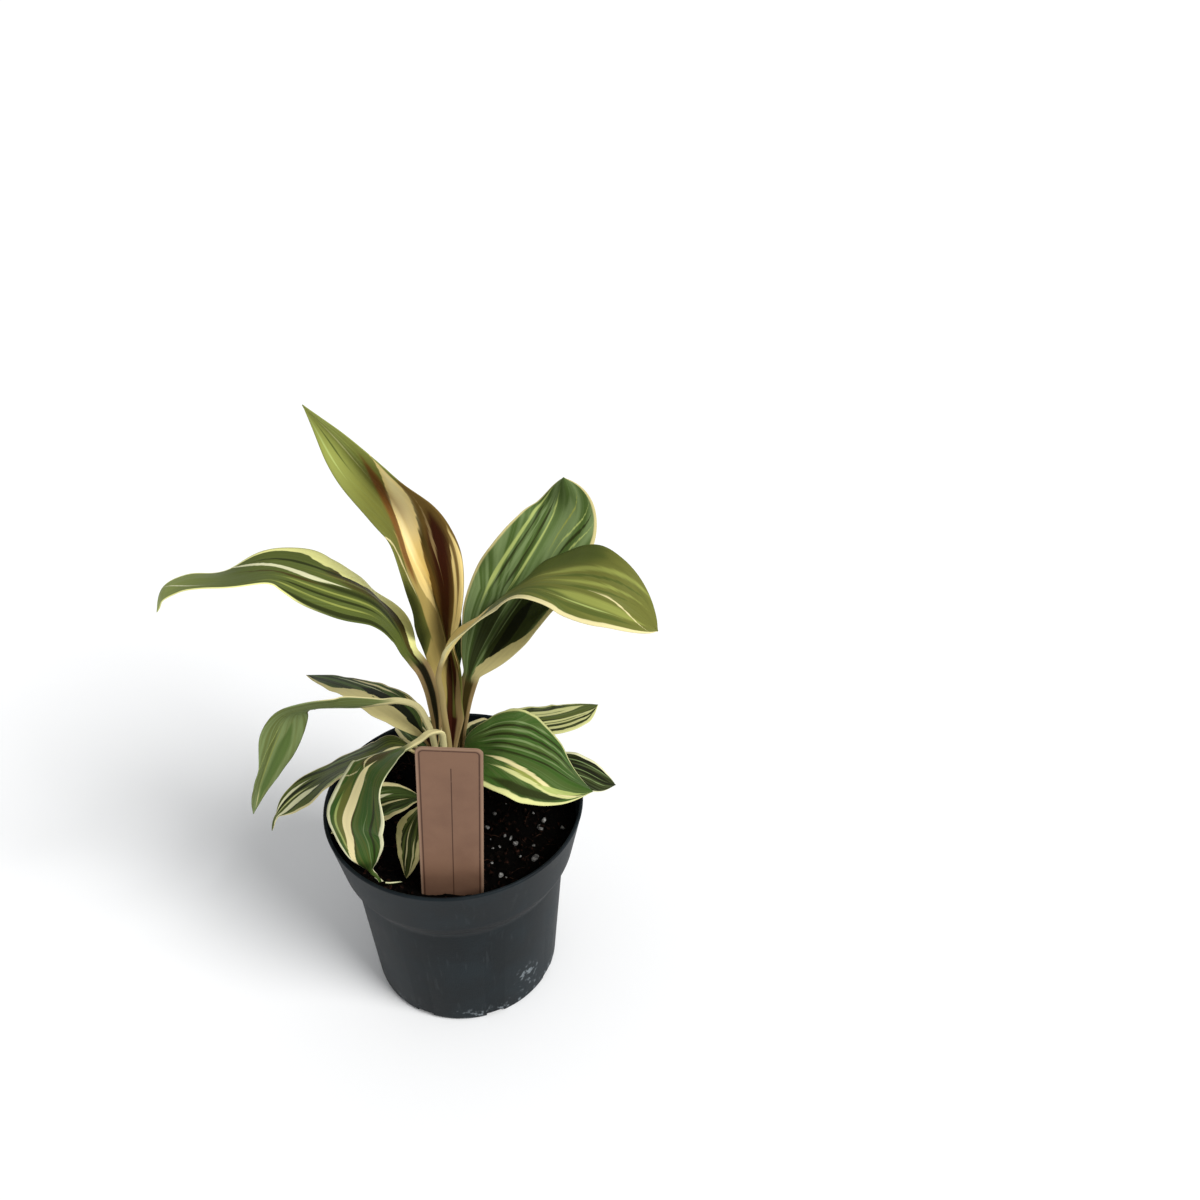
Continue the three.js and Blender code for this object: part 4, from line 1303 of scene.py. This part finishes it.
def scatter_bits(name, count, sizes, flatness, places, rounds):
    shape = bmesh.new()
    spots = list(places)
    for _ in range(count):
        spots.append((*free_place(), draw.uniform(*sizes)))
    for x, y, size in spots:
        height = soil_height(x, y) + size * BIT_LIFT
        add_bit(shape, (x * MM, y * MM, height * MM), size, draw.uniform(*flatness), rounds)
    piece = from_bmesh(name, shape)
    settle(piece)
    return piece


heaped = [heaped_place() for _ in range(60)]
bark = scatter_bits("bark_crumbs", 620, BIT_SIZES, (0.3, 0.8), heaped, 1)
perlite = scatter_bits("perlite_grains", 8, (0.6, 1.4), (0.5, 1.0), PERLITE_SEEN, 2)
print("faces of bark and perlite:", len(bark.data.polygons), len(perlite.data.polygons))

# %% [markdown]
# ## Peat fibres
# Rootlets and fibres of peat lie over the crumbs like short thick hairs. Curves with a bevel would
# do, but small bent tubes of five sides are as quick to make and are meshes from the start, which
# is what the export wants.

# %% Fibres
FIBRE_ROWS = 7
FIBRE_SIDES = 5


def fibre_points():
    """Points of one bent tube that lies on the soil and rises a little at its middle."""
    x, y = free_place()
    bearing = draw.uniform(0, 2 * math.pi)
    length = draw.uniform(3, 9)
    bend = draw.uniform(-0.9, 0.9)
    thick = draw.uniform(0.12, 0.3)
    points = []
    for step in range(FIBRE_ROWS):
        share = step / (FIBRE_ROWS - 1)
        ahead = bearing + bend * share
        x += math.cos(ahead) * length / (FIBRE_ROWS - 1)
        y += math.sin(ahead) * length / (FIBRE_ROWS - 1)
        reach = min(1.0, (SOIL_EDGE - 1.0) / max(math.hypot(x, y), 1))
        px, py = x * reach, y * reach
        height = soil_height(px, py) + 0.35 + 0.8 * math.sin(share * math.pi) * thick * 3
        for corner in range(FIBRE_SIDES):
            angle = 2 * math.pi * corner / FIBRE_SIDES
            side = thick * math.cos(angle) * (1.1 - share * 0.6)
            rise = height + thick * math.sin(angle)
            point = (px - math.sin(ahead) * side, py + math.cos(ahead) * side, rise)
            points.append(tuple(value * MM for value in point))
    return points


def make_fibres(name, count):
    points, faces = [], []
    for _ in range(count):
        start = len(points)
        points += fibre_points()
        end = len(points) - FIBRE_SIDES
        faces += [tuple(start + i for i in face) for face in ring_faces(FIBRE_ROWS, FIBRE_SIDES)]
        faces.append(tuple(start + i for i in reversed(range(FIBRE_SIDES))))
        faces.append(tuple(end + i for i in range(FIBRE_SIDES)))
    return new_piece(name, points, faces)


fibres = make_fibres("peat_fibres", 90)
print("faces of fibres:", len(fibres.data.polygons))

# %% [markdown]
# ## Soil, bark, fibre and perlite
# Damp peat is almost black, bark crumbs are reddish, fibres paler, and perlite a dusty pale grey.
# They are the same kind of surface, rough grains with damp patches, so one function makes all four.
# Only its two tones, the level of noise where the lighter one comes in and the depth of the grain
# change.

# %% Soil finishes
SOIL_GRAIN_SCALE = 520.0


def soil_finish(name, dark, light, level, relief):
    finish, tree, shader = new_finish(name)
    place = own_place(tree)
    wear = use_group(tree, wear_group, Place=place)
    grains = noise_at(tree, place, SOIL_GRAIN_SCALE, 4.0, 0.7)
    lighter = ramp_between(tree, grains, level, level + 0.24)
    paint = mix_colour(tree, lighter, colour(*dark), colour(*light))
    paint = shaded(tree, paint, graded(tree, 0.55, 0.8, wear["Cloud"]))
    rough = graded(tree, 0.62, 0.4, grains)
    dress(tree, shader, paint, rough, bump(tree, grains, relief, 0.0012), mirror=0.03)
    return finish


SOIL_FINISHES = (
    (soil, "damp_peat", (4, 3, 2), (22, 14, 11), 0.52, 0.9),
    (bark, "bark", (12, 7, 5), (58, 34, 26), 0.48, 0.6),
    (fibres, "fibre", (24, 14, 10), (64, 44, 34), 0.45, 0.3),
    (perlite, "perlite", (84, 82, 80), (168, 166, 162), 0.42, 0.4),
)
for piece, *values in SOIL_FINISHES:
    piece.data.materials.append(soil_finish(*values))
print("soil finishes:", [values[1] for values in SOIL_FINISHES])

# %% [markdown]
# ## The cane
# The cane is the plant's real stem. Leaves that fell left ring scars round it, close together, and
# the bases of the living ones hide its top. It is turned like the pot, with a small ridge at each
# scar, and its bark is two browns with dark scratches from the wear group.

# %% Cane
CANE_FOOT = 62
CANE_ROWS = 120
CANE_SIDES = 32
SCAR_SPACING = 3.2
SCAR_HEIGHT = 0.22
BARK = (colour(96, 78, 50), colour(150, 128, 86))
BARK_CRACK = colour(60, 44, 30)


def make_cane():
    outline = [(0.01, CANE_FOOT)]
    for height in np.linspace(CANE_FOOT, CANE_TOP, CANE_ROWS):
        radius = np.interp(height, *zip(*CANE_STATIONS))
        phase = (height / SCAR_SPACING) % 1
        scar = SCAR_HEIGHT * math.exp(-(((phase - 0.5) / 0.12) ** 2))
        outline.append((radius - 0.2 + scar, height))
    outline.append((0.01, CANE_TOP))
    points = turned_points(outline, CANE_SIDES)
    faces = ring_faces(len(outline), CANE_SIDES)
    faces.append(tuple(reversed(range(CANE_SIDES))))
    faces.append(tuple(range(len(points) - CANE_SIDES, len(points))))
    return new_piece("ringed_cane", points, faces, "cane")


def cane_finish():
    finish, tree, shader = new_finish("cane_bark")
    wear = use_group(tree, wear_group, Place=own_place(tree))
    paint = mix_colour(tree, ramp_between(tree, wear["Cloud"], 0.35, 0.65), *BARK)
    paint = mix_colour(tree, times(tree, wear["Scratches"], 0.5), paint, BARK_CRACK)
    rough = graded(tree, 0.55, 0.25, wear["Grain"])
    dress(tree, shader, paint, rough, bump(tree, wear["Grain"], 0.3, 0.0005))
    return finish


cane = make_cane()
cane.data.materials.append(cane_finish())
print("cane faces:", len(cane.data.polygons))

# %% [markdown]
# ## The card
# A stiff blank card stands in the soil in front. It is a flat outline with rounded shoulders and a
# foot cut to a point, pushed back to its thickness and given a fine bevel, because an edge that
# catches no light looks like paper. It carries its own two measures, across and up, in metres, taken
# before it is leaned over.

# %% Card
CARD_WIDTH = 27.4
CARD_TOP = 88
CARD_FOOT = -20
CARD_POINT = 10
CARD_CORNER = 3
CARD_THICKNESS = 1
CARD_BEVEL = 0.22
CARD_PLACE = (*CARD_SPOT, SOIL_TOP)
CARD_LEAN = 3


def card_outline():
    half = CARD_WIDTH / 2
    outline = [(0, CARD_FOOT), (half, CARD_FOOT + CARD_POINT)]
    for centre, turn in ((half - CARD_CORNER, 0), (CARD_CORNER - half, 90)):
        for angle in np.radians(np.linspace(turn, turn + 90, 9)):
            height = CARD_TOP - CARD_CORNER * (1 - math.sin(angle))
            outline.append((centre + CARD_CORNER * math.cos(angle), height))
    outline.append((-half, CARD_FOOT + CARD_POINT))
    return outline


def make_card():
    shape = bmesh.new()
    corners = [shape.verts.new((x * MM, -CARD_THICKNESS / 2 * MM, z * MM)) for x, z in card_outline()]
    front = shape.faces.new(corners)
    pushed = bmesh.ops.extrude_face_region(shape, geom=[front])
    moved = [item for item in pushed["geom"] if isinstance(item, bmesh.types.BMVert)]
    bmesh.ops.translate(shape, verts=moved, vec=(0, CARD_THICKNESS * MM, 0))
    bmesh.ops.recalc_face_normals(shape, faces=shape.faces)
    rims = [edge for edge in shape.edges if any(len(face.verts) > 4 for face in edge.link_faces)]
    bmesh.ops.bevel(shape, geom=rims, offset=CARD_BEVEL * MM, segments=2, affect="EDGES")
    card = from_bmesh("blank_card", shape)
    places = np.array([vertex.co for vertex in card.data.vertices])
    add_measure(card, "card_x", places[:, 0])
    add_measure(card, "card_z", places[:, 2])
    lean = Matrix.Rotation(math.radians(CARD_LEAN), 4, "Y")
    card.data.transform(Matrix.Translation([value * MM for value in CARD_PLACE]) @ lean)
    settle(card, "label")
    return card


card = make_card()
print("card faces:", len(card.data.polygons))

# %% [markdown]
# ## The card's print
# The card is matt brown, paler outside a printed border, with a thin upright rule that parts it into
# two columns. A picture could hold the print, but lines drawn from the distance to a rounded
# rectangle stay sharp at any size. The wear group gives the card its slight clouds and fine grain
# and takes specks out of the ink.

# %% Card print
BORDER_INSET = 1.6
BORDER_CORNER = 1.8
BORDER_DEPTH = 30
BORDER_HALF_WIDTH = 0.3
RULE_PLACE = 0.6
RULE_HALF_WIDTH = 0.22
RULE_TOP = 77
CARD_BROWN = (colour(112, 82, 64), colour(124, 93, 73))
CARD_RIM = colour(152, 124, 102)
INK = colour(62, 38, 26)


def printed_line(tree, distance, half_width):
    """1 where a distance in metres is near 0, and a soft edge; its half width is in millimetres."""
    off = maths(tree, "ABSOLUTE", distance)
    return ramp_between(tree, off, (half_width + 0.12) * MM, (half_width - 0.08) * MM)


def border_distance(tree, x, z):
    """Distance outside a rounded rectangle just inside the card's edge, open at the card's foot."""
    middle = (CARD_TOP + CARD_FOOT - BORDER_DEPTH) / 2 * MM
    half_x = (CARD_WIDTH / 2 - BORDER_INSET - BORDER_CORNER) * MM
    half_z = (CARD_TOP - BORDER_INSET - BORDER_CORNER) * MM - middle
    over_x = minus(tree, maths(tree, "ABSOLUTE", x), half_x)
    over_z = minus(tree, maths(tree, "ABSOLUTE", minus(tree, z, middle)), half_z)
    past_x = maths(tree, "MAXIMUM", over_x, 0.0)
    past_z = maths(tree, "MAXIMUM", over_z, 0.0)
    squares = plus(tree, maths(tree, "POWER", past_x, 2.0), maths(tree, "POWER", past_z, 2.0))
    inner = maths(tree, "MINIMUM", maths(tree, "MAXIMUM", over_x, over_z), 0.0)
    return minus(tree, plus(tree, maths(tree, "SQRT", squares), inner), BORDER_CORNER * MM)


def card_finish():
    finish, tree, shader = new_finish("printed_card")
    wear = use_group(tree, wear_group, Place=own_place(tree))
    x, z = measure(tree, "card_x"), measure(tree, "card_z")
    paint = mix_colour(tree, ramp_between(tree, wear["Cloud"], 0.3, 0.7), *CARD_BROWN)
    outside = border_distance(tree, x, z)
    pale = ramp_between(tree, outside, 0.2 * MM, 1.2 * MM)
    paint = mix_colour(tree, times(tree, pale, 0.7), paint, CARD_RIM)
    border = printed_line(tree, outside, BORDER_HALF_WIDTH)
    rule = printed_line(tree, minus(tree, x, RULE_PLACE * MM), RULE_HALF_WIDTH)
    rule = times(tree, rule, ramp_between(tree, z, (RULE_TOP + 0.2) * MM, (RULE_TOP - 0.2) * MM))
    ink = maths(tree, "MAXIMUM", border, rule)
    ink = times(tree, ink, minus(tree, 0.85, times(tree, wear["Specks"], 0.4)))
    paint = mix_colour(tree, ink, paint, INK)
    rough = graded(tree, 0.5, 0.2, wear["Cloud"])
    dress(tree, shader, paint, rough, bump(tree, wear["Grain"], 0.1, 0.0003), mirror=0.25)
    return finish


card.data.materials.append(card_finish())
print("card finish:", card.data.materials[0].name)

# %% [markdown]
# ## Floor and light
# The plant stands on a white floor that fills the view. The shadow falls to the left and a little
# behind, and its edge is soft, so the main light is a wide sun at the front right, and a white sky
# fills the shade with a little under half of the light.

# %% Floor, lights
FLOOR_SIDE = 4
FLOOR_BEHIND = 6
SUN_TOWARDS = (0.62, -0.42, 0.66)
SUN_STRENGTH = 2.95
SUN_WIDTH = 30
SKY_STRENGTH = 0.5
SKY_COLOUR = (0.97, 0.985, 1.0, 1.0)
WHITES = (colour(250, 250, 250), colour(253, 253, 253))


def make_floor():
    mesh = bpy.data.meshes.new("white_floor")
    front = [(-FLOOR_SIDE, -FLOOR_SIDE, 0), (FLOOR_SIDE, -FLOOR_SIDE, 0)]
    back = [(FLOOR_SIDE, FLOOR_BEHIND, 0), (-FLOOR_SIDE, FLOOR_BEHIND, 0)]
    mesh.from_pydata(front + back, [], [(0, 1, 2, 3)])
    floor = bpy.data.objects.new("white_floor", mesh)
    bpy.context.scene.collection.objects.link(floor)
    finish, tree, shader = new_finish("white_sweep")
    patches = noise_at(tree, own_place(tree), 3.0, 2.0)
    tree.links.new(mix_colour(tree, patches, *WHITES), shader.inputs["Base Color"])
    shader.inputs["Roughness"].default_value = 0.9
    shader.inputs["Specular IOR Level"].default_value = 0.1
    floor.data.materials.append(finish)
    return floor


def make_lights():
    data = bpy.data.lights.new("window_light", "SUN")
    data.energy = SUN_STRENGTH
    data.angle = math.radians(SUN_WIDTH)
    sun = bpy.data.objects.new("window_light", data)
    sun.rotation_euler = Vector(SUN_TOWARDS).to_track_quat("Z", "Y").to_euler()
    bpy.context.scene.collection.objects.link(sun)
    world = bpy.data.worlds.new("white_room")
    world.use_nodes = True
    sky = world.node_tree.nodes["Background"]
    sky.inputs["Color"].default_value = SKY_COLOUR
    sky.inputs["Strength"].default_value = SKY_STRENGTH
    bpy.context.scene.world = world
    bpy.context.scene.view_settings.view_transform = "Standard"
    return sun


floor = make_floor()
sun = make_lights()
print("sun strength:", sun.data.energy, "sky strength:", SKY_STRENGTH)
